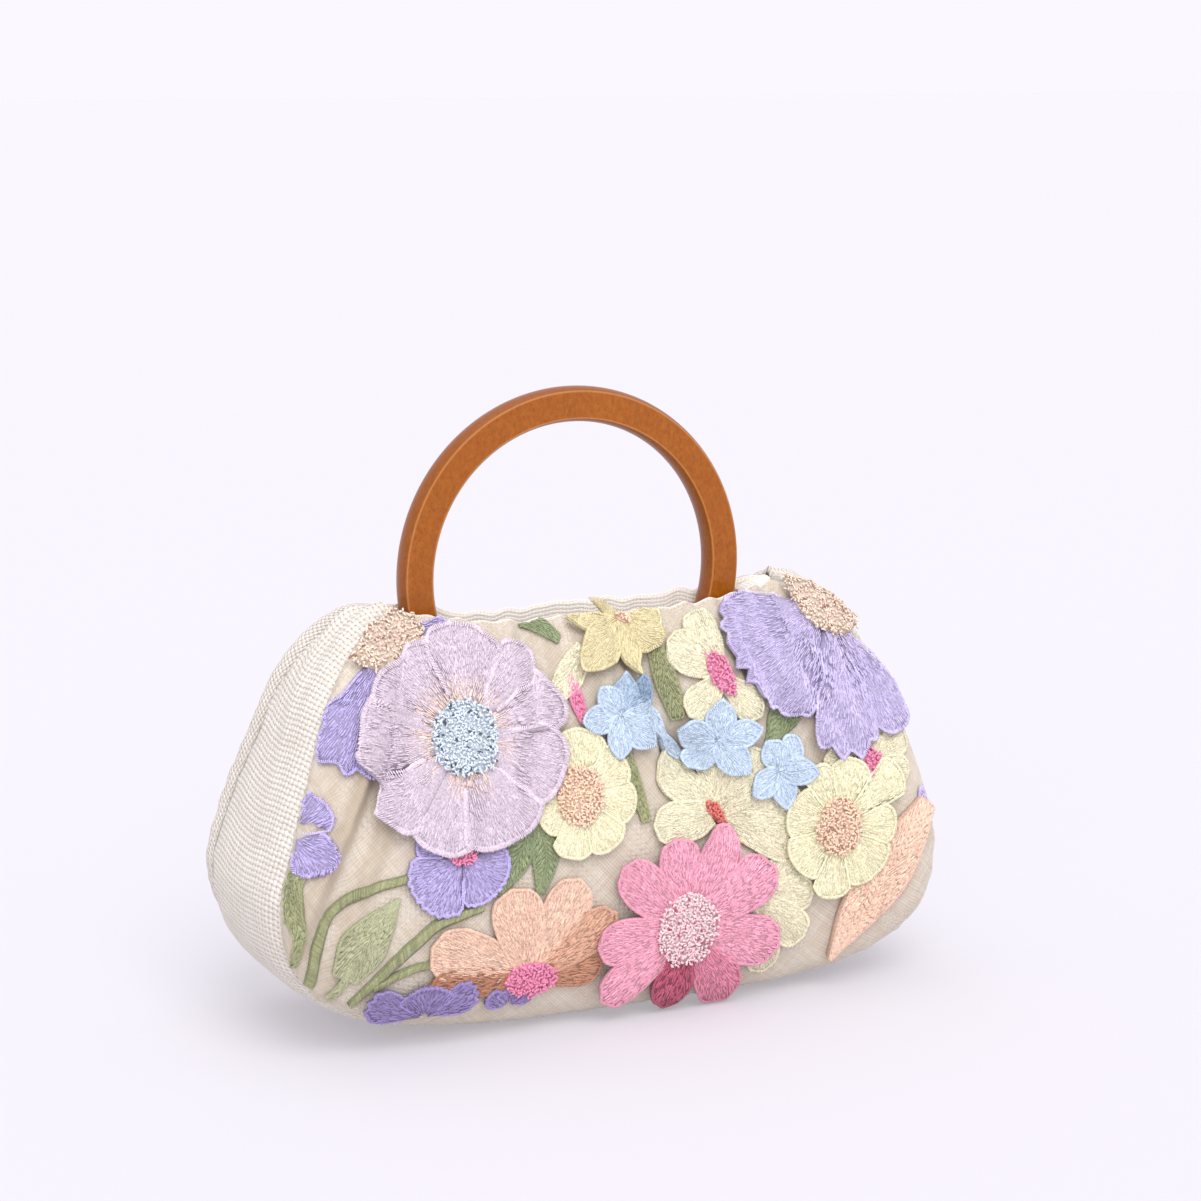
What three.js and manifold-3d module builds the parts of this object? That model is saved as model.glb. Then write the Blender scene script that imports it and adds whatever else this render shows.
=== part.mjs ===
// A small handbag with a round wooden handle. Its body is three pieces of padded linen: a front panel,
// a back panel and one gusset strip that runs down one side, under the base and up the other side.
// A sheer tulle layer lies on the front panel, and embroidered flowers and leaves are sewn on it.
// Millimetres, +Z up, the front faces -Y. The bag stands on its base.

import * as THREE from 'three';
import { mergeVertices } from 'three/addons/utils/BufferGeometryUtils.js';
import Module from 'manifold-3d';

// Driving dimensions of the body
const SHOULDER_HEIGHT = 129.5; // both ends of the mouth, above the table
const HALF_WIDTH = 112; // the seam's widest half, seen from the front
const HALF_GUSSET = 31; // the gusset strip's widest half
const FRONT_SWELL = 9; // the front panel's dome past its seam
const BACK_SWELL = 13; // the padded back panel's dome past its seam
const BACK_PUFF = 4.5; // the back panel's bulge over its side seams
const BACK_RISE = 3; // the back panel's raised shoulders
const FRONT_DIP = 6.5; // the middle of the mouth's front edge, below its ends
const BACK_DIP = 5.5; // the middle of the mouth's back edge, below its ends
const PANEL_WALL = 2.2;
const GUSSET_WALL = 2.2;
const GUSSET_CROWN = 2.6; // the strip's outward crown between its two seams
const SEAM_GAP = 0.3;

// Driving dimensions of what lies on the front panel
const TULLE_WALL = 1.0;
const APPLIQUE_WALL = 1.0;
const LAYER_GAP = 0.3;
const LARGEST_FLOWER = 30.5; // radius
const HEM_MARGIN = 0.035; // how far the flowers stop short of the lower seam, as a share of the panel

// Driving dimensions of the handle and the cloth loops that hold it
const RING_DIAMETER = 115;
const RING_WIDTH = 11; // radial
const RING_DEPTH = 8.4; // front to back
const RING_ROUNDING = 2.2;
const RING_RISE = 13; // its centre above the mouth's front edge
const RING_SETBACK = 1; // its plane behind the bag's middle plane
const RING_SHIFT = -1; // its centre beside the bag's middle
const LOOP_HEIGHT = 9; // along the ring
const LOOP_WALL = 1.5;
const LOOP_CLEARANCE = 0.5;
const LOOP_SEAM_GAP = 0.6; // between the loop's ends and the back panel, front to back
const LOOP_ANGLE = 28; // degrees below the ring's widest points
const MOUTH_CLEARANCE = 2.2; // between the ring and the mouth's edges
const MOUTH_HALF_DEPTH = RING_DEPTH / 2 + RING_SETBACK + MOUTH_CLEARANCE + PANEL_WALL; // outside the cloth

// How the panels swell. A higher fullness keeps a curve level further towards its ends, a lower
// rounding makes a dome's edge steeper, and the rest are shares of a panel's width or height.
const MOUTH_FULLNESS = 8;
const DIP_FULLNESS = 3;
const SIDE_FULLNESS = 5;
const BASE_FULLNESS = 6;
const CROWN_FULLNESS = 4;
const FRONT_ROUNDING = 0.5;
const BACK_ROUNDING = 0.36;
const FRONT_GROWTH = 0.6; // the height over which the front dome grows
const BACK_GROWTH = 0.35;
const PUFF_WIDTH = 0.16;
const PUFF_HEIGHT = 0.9;
const RISE_HEIGHT = 0.4;
const FOLD_FADE = 1 / 6; // the folds fade out this near to a panel's edges

// Colours
const COLOURS = {
  linen: 0xe9e2d4,
  tulle: 0xf1eadb,
  wood: 0xa9601f,
  cloth: 0xddd3c2,
  purple: 0x9e8fe0,
  lilac: 0xdcccea,
  lightBlue: 0xb4d0f0,
  yellow: 0xf3eec2,
  cream: 0xf2ecd2,
  peach: 0xf8c3a6,
  peachDot: 0xf5b79a,
  pink: 0xf494bd,
  palePink: 0xf7c3cf,
  hotPink: 0xef6f9f,
  green: 0xa3b07e,
  darkGreen: 0x7f9160,
  ivory: 0xf3dccb,
};

// The seams, from one end of the mouth (row 0) down to the middle of the base (last row). up is a
// share of the shoulder height, left and right are shares of the half width, and front and back are
// shares of the half gusset.
const SEAM_ROWS = [
  { up: 1.0, left: 0.563, right: 0.607, front: 0.113, back: 0.129 },
  { up: 0.961, left: 0.656, right: 0.723, front: 0.258, back: 0.419 },
  { up: 0.834, left: 0.786, right: 0.844, front: 0.532, back: 0.645 },
  { up: 0.664, left: 0.871, right: 0.924, front: 0.758, back: 0.806 },
  { up: 0.51, left: 0.938, right: 0.978, front: 0.919, back: 0.935 },
  { up: 0.355, left: 0.982, right: 1.013, front: 1.0, back: 1.0 },
  { up: 0.201, left: 0.929, right: 0.982, front: 0.968, back: 0.968 },
  { up: 0.077, left: 0.732, right: 0.821, front: 0.887, back: 0.887 },
  { up: 0.023, left: 0.42, right: 0.536, front: 0.823, back: 0.823 },
  { up: 0.012, left: 0, right: 0, front: 0.806, back: 0.806 },
];
const LAST_ROW = SEAM_ROWS.length - 1;
const CORNER_ROW = 6.4; // where a panel's side edge turns into its lower edge

// Folds pressed into the front panel. Places are shares of the half width and the shoulder height,
// and width and depth are shares of the front swell. A negative depth is a raised pleat.
const FOLDS = [
  { fromX: 0.09, fromUp: 0.86, toX: 0.2, toUp: 0.62, width: 0.75, depth: 0.34 },
  { fromX: 0.2, fromUp: 0.62, toX: 0.33, toUp: 0.43, width: 0.8, depth: 0.42 },
  { fromX: -0.62, fromUp: 0.84, toX: -0.83, toUp: 0.36, width: 0.7, depth: 0.2 },
  { fromX: 0.42, fromUp: 0.9, toX: 0.5, toUp: 0.66, width: 0.7, depth: 0.2 },
  { fromX: -0.2, fromUp: 0.92, toX: -0.24, toUp: 0.74, width: 0.7, depth: 0.18 },
];

// Flowers. Places are shares of the half width and the shoulder height, size is a share of the
// largest flower, notch is how deep the petals part, and from and to are degrees, counted from the
// right. inner is where the petals begin, as a share of the flower. Layer 1 lies on the tulle, and
// layer 2 on layer 1.
const FLOWERS = [
  { name: 'left_purple_flower', x: -0.6, up: 0.925, size: 1.22, petals: 3, notch: 0.12, from: 208, to: 268,
    inner: 0.26, layer: 1, colour: 'purple' },
  { name: 'seam_lavender_flower', x: -0.965, up: 0.53, size: 0.46, petals: 3, notch: 0.25, from: -80, to: 80,
    inner: 0, layer: 1, colour: 'purple' },
  { name: 'pansy', x: -0.49, up: 0.455, size: 0.5, petals: 4, notch: 0.2, from: 160, to: 375,
    inner: 0, layer: 1, colour: 'purple' },
  { name: 'left_yellow_flower', x: -0.112, up: 0.563, size: 0.6, petals: 6, notch: 0.1, from: 0, to: 360,
    inner: 0, layer: 1, colour: 'yellow' },
  { name: 'peach_flower', x: -0.29, up: 0.15, size: 0.98, petals: 5, notch: 0.3, from: -5, to: 195,
    inner: 0, layer: 1, colour: 'peach' },
  { name: 'blue_buds', x: 0.155, up: 0.685, size: 0.19, petals: 3, notch: 0.3, from: 0, to: 360,
    inner: 0, layer: 1, colour: 'lightBlue' },
  { name: 'cream_fan', x: 0.33, up: 0.47, size: 0.7, petals: 3, notch: 0.2, from: 95, to: 190,
    inner: 0, layer: 1, colour: 'cream' },
  { name: 'cream_edge_flower', x: 0.76, up: 0.575, size: 0.42, petals: 3, notch: 0.2, from: -30, to: 100,
    inner: 0, layer: 1, colour: 'cream' },
  { name: 'lilac_flower', x: -0.446, up: 0.706, size: 1, petals: 8, notch: 0.08, from: 0, to: 360,
    inner: 0, layer: 2, colour: 'lilac' },
  { name: 'pink_flower', x: 0.171, up: 0.239, size: 0.97, petals: 8, notch: 0.2, from: 0, to: 360,
    inner: 0, layer: 2, colour: 'pink' },
  { name: 'blue_flower_left', x: 0.013, up: 0.715, size: 0.37, petals: 5, notch: 0.35, from: 18, to: 378,
    inner: 0, layer: 2, colour: 'lightBlue' },
  { name: 'blue_flower_middle', x: 0.288, up: 0.655, size: 0.4, petals: 5, notch: 0.35, from: 54, to: 414,
    inner: 0, layer: 2, colour: 'lightBlue' },
  { name: 'blue_flower_right', x: 0.486, up: 0.57, size: 0.28, petals: 5, notch: 0.35, from: 54, to: 414,
    inner: 0, layer: 2, colour: 'lightBlue' },
  { name: 'narcissus', x: 0.075, up: 0.95, size: 0.68, petals: 4, notch: 0.25, from: 180, to: 350,
    inner: 0, layer: 2, colour: 'cream' },
  { name: 'right_yellow_flower', x: 0.66, up: 0.417, size: 0.62, petals: 7, notch: 0.08, from: 0, to: 360,
    inner: 0, layer: 2, colour: 'yellow' },
  { name: 'top_purple_flower', x: 0.7, up: 0.925, size: 1.42, petals: 3, notch: 0.22, from: 172, to: 305,
    inner: 0, layer: 2, colour: 'purple' },
  { name: 'lower_purple_flower', x: -0.58, up: 0.03, size: 0.58, petals: 3, notch: 0.2, from: 15, to: 165,
    inner: 0, layer: 2, colour: 'purple' },
  { name: 'lower_purple_petals', x: -0.32, up: 0.015, size: 0.28, petals: 2, notch: 0.2, from: 20, to: 160,
    inner: 0, layer: 1, colour: 'purple' },
];

// Raised centres of the flowers. Places and sizes as above.
const HEARTS = [
  { name: 'left_purple_centre', x: -0.6, up: 0.925, size: 0.29, layer: 1, colour: 'ivory' },
  { name: 'pansy_centre', x: -0.49, up: 0.436, size: 0.1, layer: 2, colour: 'hotPink' },
  { name: 'left_yellow_centre', x: -0.115, up: 0.57, size: 0.25, layer: 2, colour: 'peachDot' },
  { name: 'peach_centre', x: -0.29, up: 0.163, size: 0.28, layer: 2, colour: 'hotPink' },
  { name: 'lilac_centre', x: -0.446, up: 0.706, size: 0.33, layer: 3, colour: 'lightBlue' },
  { name: 'pink_centre', x: 0.171, up: 0.239, size: 0.38, layer: 3, colour: 'palePink' },
  { name: 'narcissus_centre', x: 0.075, up: 0.925, size: 0.16, layer: 3, colour: 'peachDot' },
  { name: 'right_yellow_centre', x: 0.66, up: 0.417, size: 0.24, layer: 3, colour: 'peachDot' },
  { name: 'top_purple_centre', x: 0.7, up: 0.915, size: 0.32, layer: 3, colour: 'ivory' },
];

// Leaves, stems and loose petals, each from one end to the other. Places as above, width is a share
// of the largest flower, bend bows the middle sideways by a share of the length, and blunt is 0 for
// a pointed leaf and 1 for a round-ended petal.
const BLADES = [
  { name: 'seam_leaf', x: -0.862, up: 0.45, endX: -0.93, endUp: 0.25,
    width: 0.2, bend: -0.06, blunt: 0, colour: 'green' },
  { name: 'bud_stem', x: -0.68, up: 0.4, endX: -0.885, endUp: 0.19,
    width: 0.085, bend: -0.24, blunt: 1, colour: 'green' },
  { name: 'green_bud', x: -0.7, up: 0.37, endX: -0.815, endUp: 0.2,
    width: 0.32, bend: 0.05, blunt: 0, colour: 'green' },
  { name: 'long_stem', x: -0.625, up: 0.265, endX: -0.775, endUp: 0.135,
    width: 0.07, bend: -0.06, blunt: 1, colour: 'green' },
  { name: 'short_branch', x: -0.55, up: 0.225, endX: -0.67, endUp: 0.15,
    width: 0.06, bend: -0.05, blunt: 1, colour: 'green' },
  { name: 'dark_leaf', x: -0.265, up: 0.47, endX: -0.335, endUp: 0.415,
    width: 0.3, bend: 0.1, blunt: 0, colour: 'darkGreen' },
  { name: 'upper_leaf', x: 0.15, up: 0.85, endX: 0.205, endUp: 0.745,
    width: 0.22, bend: 0.1, blunt: 0, colour: 'green' },
  { name: 'right_leaf', x: 0.57, up: 0.75, endX: 0.475, endUp: 0.64,
    width: 0.28, bend: -0.1, blunt: 0, colour: 'darkGreen' },
  { name: 'middle_leaf', x: 0.075, up: 0.605, endX: 0.085, endUp: 0.485,
    width: 0.16, bend: 0.1, blunt: 0, colour: 'green' },
  { name: 'mouth_leaf', x: -0.21, up: 0.935, endX: -0.13, endUp: 0.895,
    width: 0.2, bend: 0.1, blunt: 0, colour: 'darkGreen' },
  { name: 'cream_petal_right', x: 0.29, up: 0.94, endX: 0.25, endUp: 0.775,
    width: 0.32, bend: 0.08, blunt: 1, colour: 'cream' },
  { name: 'cream_petal_left', x: -0.1, up: 0.885, endX: -0.18, endUp: 0.775,
    width: 0.28, bend: 0.08, blunt: 1, colour: 'cream' },
  { name: 'cream_petal_low', x: 0.47, up: 0.25, endX: 0.53, endUp: 0.13,
    width: 0.38, bend: 0.1, blunt: 1, colour: 'cream' },
  { name: 'peach_petal', x: 0.94, up: 0.43, endX: 0.69, endUp: 0.1,
    width: 0.8, bend: 0.16, blunt: 0, colour: 'peach' },
  { name: 'pink_bud_upper', x: 0.365, up: 0.845, endX: 0.36, endUp: 0.785,
    width: 0.18, bend: 0, blunt: 1, colour: 'hotPink' },
  { name: 'pink_bud_left', x: -0.06, up: 0.815, endX: -0.05, endUp: 0.755,
    width: 0.13, bend: 0, blunt: 1, colour: 'hotPink' },
  { name: 'lavender_bud', x: 0.93, up: 0.52, endX: 0.95, endUp: 0.455,
    width: 0.14, bend: 0, blunt: 1, colour: 'purple' },
];

// How fine the meshes are
const PANEL_COLUMNS = 22;
const PANEL_ROWS = 12;
const COLUMN_CROWDING = 0.55; // 0 is even, 1 is closest together at the edges
const ROW_CROWDING = 0.3;
const GUSSET_STEPS = 4; // across the strip
const POINTS_PER_PETAL = 5;
const POINTS_PER_BLADE_SIDE = 5;
const BLUNT_BELLY = 0.4; // below 1, the end of a petal is round
const HEART_SIDES = 10;
const RING_SEGMENTS = 40;

const wasm = await Module();
wasm.setup();
const RADIANS = Math.PI / 180;
const FRONT = -1;
const BACK = 1;

// Small helpers

// A smooth curve through the seam rows, mirrored past the middle of the base.
function seamValue(t, column) {
  const mirrored = column === 'left' || column === 'right';
  const value = (k) => {
    if (k < 0) return 2 * SEAM_ROWS[0][column] - SEAM_ROWS[1][column];
    if (k <= LAST_ROW) return SEAM_ROWS[k][column];
    return (mirrored ? -1 : 1) * SEAM_ROWS[2 * LAST_ROW - k][column];
  };
  const i = Math.min(Math.floor(t), LAST_ROW - 1);
  const f = t - i;
  const [a, b, c, d] = [value(i - 1), value(i), value(i + 1), value(i + 2)];
  return b + 0.5 * f * (c - a + f * (2 * a - 5 * b + 4 * c - d + f * (3 * (b - c) + d - a)));
}

// A point on the front or back seam. side is -1 at the left and 1 at the right.
function seamPoint(t, side, face) {
  const halfWidth = HALF_WIDTH * seamValue(t, side < 0 ? 'left' : 'right');
  const depth = HALF_GUSSET * seamValue(t, face === FRONT ? 'front' : 'back') + SEAM_GAP / 2;
  return new THREE.Vector3(side * halfWidth, face * depth, SHOULDER_HEIGHT * seamValue(t, 'up'));
}

// The outward direction at the seam, square to the front-to-back direction.
function seamNormal(t, side) {
  const step = 0.01;
  const ahead = seamPoint(Math.min(t + step, LAST_ROW), side, FRONT);
  const behind = seamPoint(Math.max(t - step, 0), side, FRONT);
  const along = ahead.sub(behind);
  return new THREE.Vector3(-side * along.z, 0, side * along.x).normalize();
}

// Where a panel's lower edge at u meets the seam.
function lowerSeam(u) {
  const middle = 2 * u - 1;
  return { t: CORNER_ROW + (LAST_ROW - CORNER_ROW) * (1 - Math.abs(middle)), side: middle < 0 ? -1 : 1 };
}

// The mouth edge of a panel, from its left end to its right end.
function mouthPoint(u, face) {
  const left = seamPoint(0, -1, face);
  const right = seamPoint(0, 1, face);
  const outward = Math.abs(2 * u - 1);
  const dip = face === FRONT ? FRONT_DIP : BACK_DIP;
  const middleDepth = face * MOUTH_HALF_DEPTH;
  return new THREE.Vector3(
    THREE.MathUtils.lerp(left.x, right.x, u),
    middleDepth + (left.y - middleDepth) * outward ** MOUTH_FULLNESS,
    left.z - dip * (1 - outward ** DIP_FULLNESS),
  );
}

// How deep the folds press into the front panel at a place seen from the front.
function foldDepth(x, z) {
  let depth = 0;
  for (const fold of FOLDS) {
    const from = new THREE.Vector2(fold.fromX * HALF_WIDTH, fold.fromUp * SHOULDER_HEIGHT);
    const along = new THREE.Vector2(fold.toX * HALF_WIDTH, fold.toUp * SHOULDER_HEIGHT).sub(from);
    const place = new THREE.Vector2(x, z).sub(from);
    const share = THREE.MathUtils.clamp(place.dot(along) / along.lengthSq(), 0, 1);
    const distance = place.sub(along.multiplyScalar(share)).length();
    depth += fold.depth * FRONT_SWELL * Math.exp(-((distance / (fold.width * FRONT_SWELL)) ** 2));
  }
  return depth;
}

// A point on a panel's outer face: u runs from left to right, v from the mouth to the lower seam.
function panelPoint(u, v, face) {
  const left = seamPoint(v * CORNER_ROW, -1, face);
  const right = seamPoint(v * CORNER_ROW, 1, face);
  const top = mouthPoint(u, face);
  const low = lowerSeam(u);
  const bottom = seamPoint(low.t, low.side, face);
  const point = top.multiplyScalar(1 - v).addScaledVector(bottom, v);
  point.addScaledVector(left, 1 - u).addScaledVector(right, u);
  point.addScaledVector(seamPoint(0, -1, face), -(1 - u) * (1 - v));
  point.addScaledVector(seamPoint(0, 1, face), -u * (1 - v));
  point.addScaledVector(seamPoint(CORNER_ROW, -1, face), -(1 - u) * v);
  point.addScaledVector(seamPoint(CORNER_ROW, 1, face), -u * v);

  const across = Math.max(0, 1 - Math.abs(2 * u - 1) ** SIDE_FULLNESS);
  const down = Math.sqrt(Math.max(0, 1 - v ** BASE_FULLNESS));
  const inset = Math.min(u, 1 - u);
  const grown = (height) => Math.min(1, v / height);
  if (face === FRONT) {
    point.y -= FRONT_SWELL * across ** FRONT_ROUNDING * down * Math.sin(grown(FRONT_GROWTH) * Math.PI / 2);
    const fade = Math.min(1, inset / FOLD_FADE) * Math.min(1, v * (1 - v) / FOLD_FADE);
    point.y += foldDepth(point.x, point.z) * fade;
  } else {
    const edge = Math.sin(Math.PI * Math.sqrt(Math.min(1, inset / PUFF_WIDTH)));
    const puff = BACK_PUFF * Math.sqrt(Math.sin(Math.PI * grown(PUFF_HEIGHT)));
    point.y += BACK_SWELL * across ** BACK_ROUNDING * down * Math.sin(grown(BACK_GROWTH) * Math.PI / 2);
    point.x += Math.sign(u - 0.5) * puff * edge;
    point.z += BACK_RISE * edge * Math.sin(Math.PI * grown(RISE_HEIGHT));
  }
  return point;
}

// Steps from 0 to 1, closer together near both ends.
function crowdedSteps(count, crowding) {
  return Array.from({ length: count + 1 }, (_, k) => {
    const even = k / count;
    return (1 - crowding) * even + crowding * (0.5 - 0.5 * Math.cos(Math.PI * even));
  });
}
const COLUMN_STEPS = crowdedSteps(PANEL_COLUMNS, COLUMN_CROWDING);
const ROW_STEPS = [...crowdedSteps(PANEL_ROWS - 1, ROW_CROWDING).map((v) => v * (1 - HEM_MARGIN)), 1];

// A grid of outer points with an outward direction at each. At the seams the direction is the
// seam's own, so that walls meet there edge to edge.
function panelGrid(face) {
  const points = ROW_STEPS.map((v) => COLUMN_STEPS.map((u) => panelPoint(u, v, face)));
  const directions = points.map((row, j) => row.map((_, i) => {
    const v = ROW_STEPS[j];
    if (i === 0) return seamNormal(v * CORNER_ROW, -1);
    if (i === row.length - 1) return seamNormal(v * CORNER_ROW, 1);
    if (v === 1) {
      const low = lowerSeam(COLUMN_STEPS[i]);
      return seamNormal(low.t, low.side);
    }
    const across = row[i + 1].clone().sub(row[i - 1]);
    const above = points[Math.max(j - 1, 0)][i];
    const below = points[Math.min(j + 1, points.length - 1)][i];
    return above.clone().sub(below).cross(across).multiplyScalar(face).normalize();
  }));
  return { points, directions };
}

// A closed wall between two grids of points.
function wallBetween(outer, inner) {
  const rows = outer.length;
  const columns = outer[0].length;
  const positions = [...outer.flat(), ...inner.flat()].flatMap((p) => [p.x, p.y, p.z]);
  const at = (j, i, layer) => layer * rows * columns + j * columns + i;
  const faces = [];
  const quad = (a, b, c, d) => faces.push(a, b, c, a, c, d);
  for (let j = 0; j < rows - 1; j += 1) {
    for (let i = 0; i < columns - 1; i += 1) {
      const [a, b, c, d] = [[j, i], [j + 1, i], [j + 1, i + 1], [j, i + 1]];
      const around = 2 * i < columns - 1 ? [b, c, d, a] : [a, b, c, d]; // both halves split alike
      quad(...around.map(([down, along]) => at(down, along, 0)));
      const [p, q, r, s] = around.map(([down, along]) => at(down, along, 1));
      quad(p, s, r, q);
    }
  }
  for (let j = 0; j < rows - 1; j += 1) {
    quad(at(j, 0, 1), at(j + 1, 0, 1), at(j + 1, 0, 0), at(j, 0, 0));
    quad(at(j, columns - 1, 0), at(j + 1, columns - 1, 0), at(j + 1, columns - 1, 1), at(j, columns - 1, 1));
  }
  for (let i = 0; i < columns - 1; i += 1) {
    quad(at(0, i, 0), at(0, i + 1, 0), at(0, i + 1, 1), at(0, i, 1));
    quad(at(rows - 1, i, 1), at(rows - 1, i + 1, 1), at(rows - 1, i + 1, 0), at(rows - 1, i, 0));
  }
  const geometry = new THREE.BufferGeometry();
  geometry.setAttribute('position', new THREE.Float32BufferAttribute(positions, 3));
  geometry.setIndex(faces);
  return facingOut(geometry);
}

// Turns a closed mesh the right way out.
function facingOut(geometry) {
  const position = geometry.getAttribute('position');
  const index = geometry.getIndex();
  const corner = [0, 1, 2].map(() => new THREE.Vector3());
  let volume = 0;
  for (let k = 0; k < index.count; k += 3) {
    corner.forEach((p, n) => p.fromBufferAttribute(position, index.getX(k + n)));
    volume += corner[0].dot(corner[1].clone().cross(corner[2]));
  }
  if (volume < 0) {
    for (let k = 0; k < index.count; k += 3) {
      const first = index.getX(k);
      index.setX(k, index.getX(k + 2));
      index.setX(k + 2, first);
    }
  }
  return geometry;
}

// A layer of the panel between two distances outside its outer face.
function layerOf(grid, from, to) {
  const offset = (distance) => grid.points.map((row, j) => row.map((point, i) => (
    point.clone().addScaledVector(grid.directions[j][i], distance))));
  return wallBetween(offset(to), offset(from));
}

// To and from the solid library
function solidOf(geometry) {
  const plain = geometry.clone();
  plain.deleteAttribute('normal');
  plain.deleteAttribute('uv');
  const merged = mergeVertices(plain, 1e-4);
  return new wasm.Manifold(new wasm.Mesh({
    numProp: 3,
    vertProperties: new Float32Array(merged.getAttribute('position').array),
    triVerts: new Uint32Array(merged.getIndex().array),
  }));
}

function geometryOf(solid) {
  const mesh = solid.getMesh();
  const geometry = new THREE.BufferGeometry();
  geometry.setAttribute('position', new THREE.Float32BufferAttribute(mesh.vertProperties, 3));
  geometry.setIndex(Array.from(mesh.triVerts));
  return geometry;
}

const bag = new THREE.Group();

function addPiece(name, geometry, colour, roughness = 0.9) {
  const material = new THREE.MeshStandardMaterial({ color: COLOURS[colour], roughness, metalness: 0 });
  const mesh = new THREE.Mesh(geometry, material);
  mesh.name = name;
  bag.add(mesh);
  return mesh;
}

// Panels and tulle
const frontGrid = panelGrid(FRONT);
const backGrid = panelGrid(BACK);

addPiece('front_panel', layerOf(frontGrid, -PANEL_WALL, 0), 'linen');
const backPanel = addPiece('back_panel', layerOf(backGrid, -PANEL_WALL, 0), 'linen');
addPiece('tulle_overlay', layerOf(frontGrid, LAYER_GAP, LAYER_GAP + TULLE_WALL), 'tulle');

// The gusset follows the seams down one side, under the base and up the other side, with a step
// wherever the panels' edges have one.
function gussetGeometry() {
  const down = ROW_STEPS.map((v) => ({ t: v * CORNER_ROW, side: -1 }));
  const under = COLUMN_STEPS.slice(1, -1).map(lowerSeam);
  const up = ROW_STEPS.map((v) => ({ t: v * CORNER_ROW, side: 1 })).reverse();
  const outer = [];
  const inner = [];
  for (const { t, side } of [...down, ...under, ...up]) {
    const front = seamPoint(t, side, FRONT);
    const back = seamPoint(t, side, BACK);
    front.y += SEAM_GAP;
    back.y -= SEAM_GAP;
    const outward = seamNormal(t, side);
    const outerRow = [];
    const innerRow = [];
    for (let k = 0; k <= GUSSET_STEPS; k += 1) {
      const across = k / GUSSET_STEPS;
      const crown = GUSSET_CROWN * (1 - (2 * across - 1) ** CROWN_FULLNESS);
      const point = front.clone().lerp(back, across);
      outerRow.push(flattened(point.clone().addScaledVector(outward, crown), 0));
      innerRow.push(flattened(point.addScaledVector(outward, crown - GUSSET_WALL), GUSSET_WALL));
    }
    outer.push(outerRow);
    inner.push(innerRow);
  }
  return wallBetween(outer, inner);
}

// The base lies flat where the bag rests on it.
function flattened(point, lowest) {
  point.z = Math.max(point.z, lowest);
  return point;
}

addPiece('gusset', gussetGeometry(), 'linen');

// Flowers, leaves and petals are cut from layers that lie on the tulle, short of its lower hem.
const appliqueGrid = { points: frontGrid.points.slice(0, -1), directions: frontGrid.directions.slice(0, -1) };
const layerPitch = APPLIQUE_WALL + LAYER_GAP;
const cloths = [1, 2, 3].map((layer) => {
  const from = LAYER_GAP + TULLE_WALL + LAYER_GAP + (layer - 1) * layerPitch;
  return solidOf(layerOf(appliqueGrid, from, from + APPLIQUE_WALL));
});

function cutFromLayer(shape, layer) {
  const reach = 2 * (HALF_GUSSET + FRONT_SWELL);
  const cutter = new THREE.ExtrudeGeometry(shape, { depth: reach, bevelEnabled: false });
  cutter.rotateX(Math.PI / 2);
  return geometryOf(cloths[layer - 1].intersect(solidOf(cutter)));
}

function place(row) {
  return new THREE.Vector2(row.x * HALF_WIDTH, row.up * SHOULDER_HEIGHT);
}

// A flower's outline: round petals between two angles, closed through its middle if it is a fan.
function flowerShape(row) {
  const centre = place(row);
  const radius = row.size * LARGEST_FLOWER;
  const whole = row.to - row.from === 360;
  const steps = row.petals * POINTS_PER_PETAL;
  const points = [];
  for (let k = 0; k <= steps - (whole ? 1 : 0); k += 1) {
    const lobe = Math.sqrt(Math.abs(Math.sin(Math.PI * k / POINTS_PER_PETAL)));
    const reach = radius * (1 - row.notch + row.notch * lobe);
    const angle = (row.from + (row.to - row.from) * k / steps) * RADIANS;
    const arm = new THREE.Vector2(Math.cos(angle), Math.sin(angle));
    points.push(centre.clone().addScaledVector(arm, reach));
  }
  if (!whole) {
    for (const angle of row.inner > 0 ? [row.to, (row.from + row.to) / 2, row.from] : [row.from]) {
      const corner = new THREE.Vector2(Math.cos(angle * RADIANS), Math.sin(angle * RADIANS));
      points.push(centre.clone().addScaledVector(corner, row.inner * radius));
    }
  }
  return new THREE.Shape(points);
}

function heartShape(row) {
  const centre = place(row);
  return new THREE.Shape(Array.from({ length: HEART_SIDES }, (_, k) => {
    const angle = 2 * Math.PI * k / HEART_SIDES;
    const arm = new THREE.Vector2(Math.cos(angle), Math.sin(angle));
    return centre.clone().addScaledVector(arm, row.size * LARGEST_FLOWER);
  }));
}

// A leaf, stem or petal: two bowed sides between two ends.
function bladeShape(row) {
  const start = place(row);
  const along = new THREE.Vector2(row.endX * HALF_WIDTH, row.endUp * SHOULDER_HEIGHT).sub(start);
  const length = along.length();
  const aside = new THREE.Vector2(-along.y, along.x).divideScalar(length);
  const edge = (side) => Array.from({ length: POINTS_PER_BLADE_SIDE }, (_, k) => {
    const share = (k + 0.5) / POINTS_PER_BLADE_SIDE;
    const belly = Math.sin(Math.PI * share) ** (row.blunt ? BLUNT_BELLY : 1);
    const bow = row.bend * length * Math.sin(Math.PI * share);
    const reach = bow + side * row.width * LARGEST_FLOWER * belly / 2;
    return start.clone().addScaledVector(along, share).addScaledVector(aside, reach);
  });
  return new THREE.Shape([start, ...edge(-1), start.clone().add(along), ...edge(1).reverse()]);
}

for (const row of FLOWERS) addPiece(row.name, cutFromLayer(flowerShape(row), row.layer), row.colour, 0.55);
for (const row of HEARTS) addPiece(row.name, cutFromLayer(heartShape(row), row.layer), row.colour, 0.7);
for (const row of BLADES) addPiece(row.name, cutFromLayer(bladeShape(row), 1), row.colour, 0.55);

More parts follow.
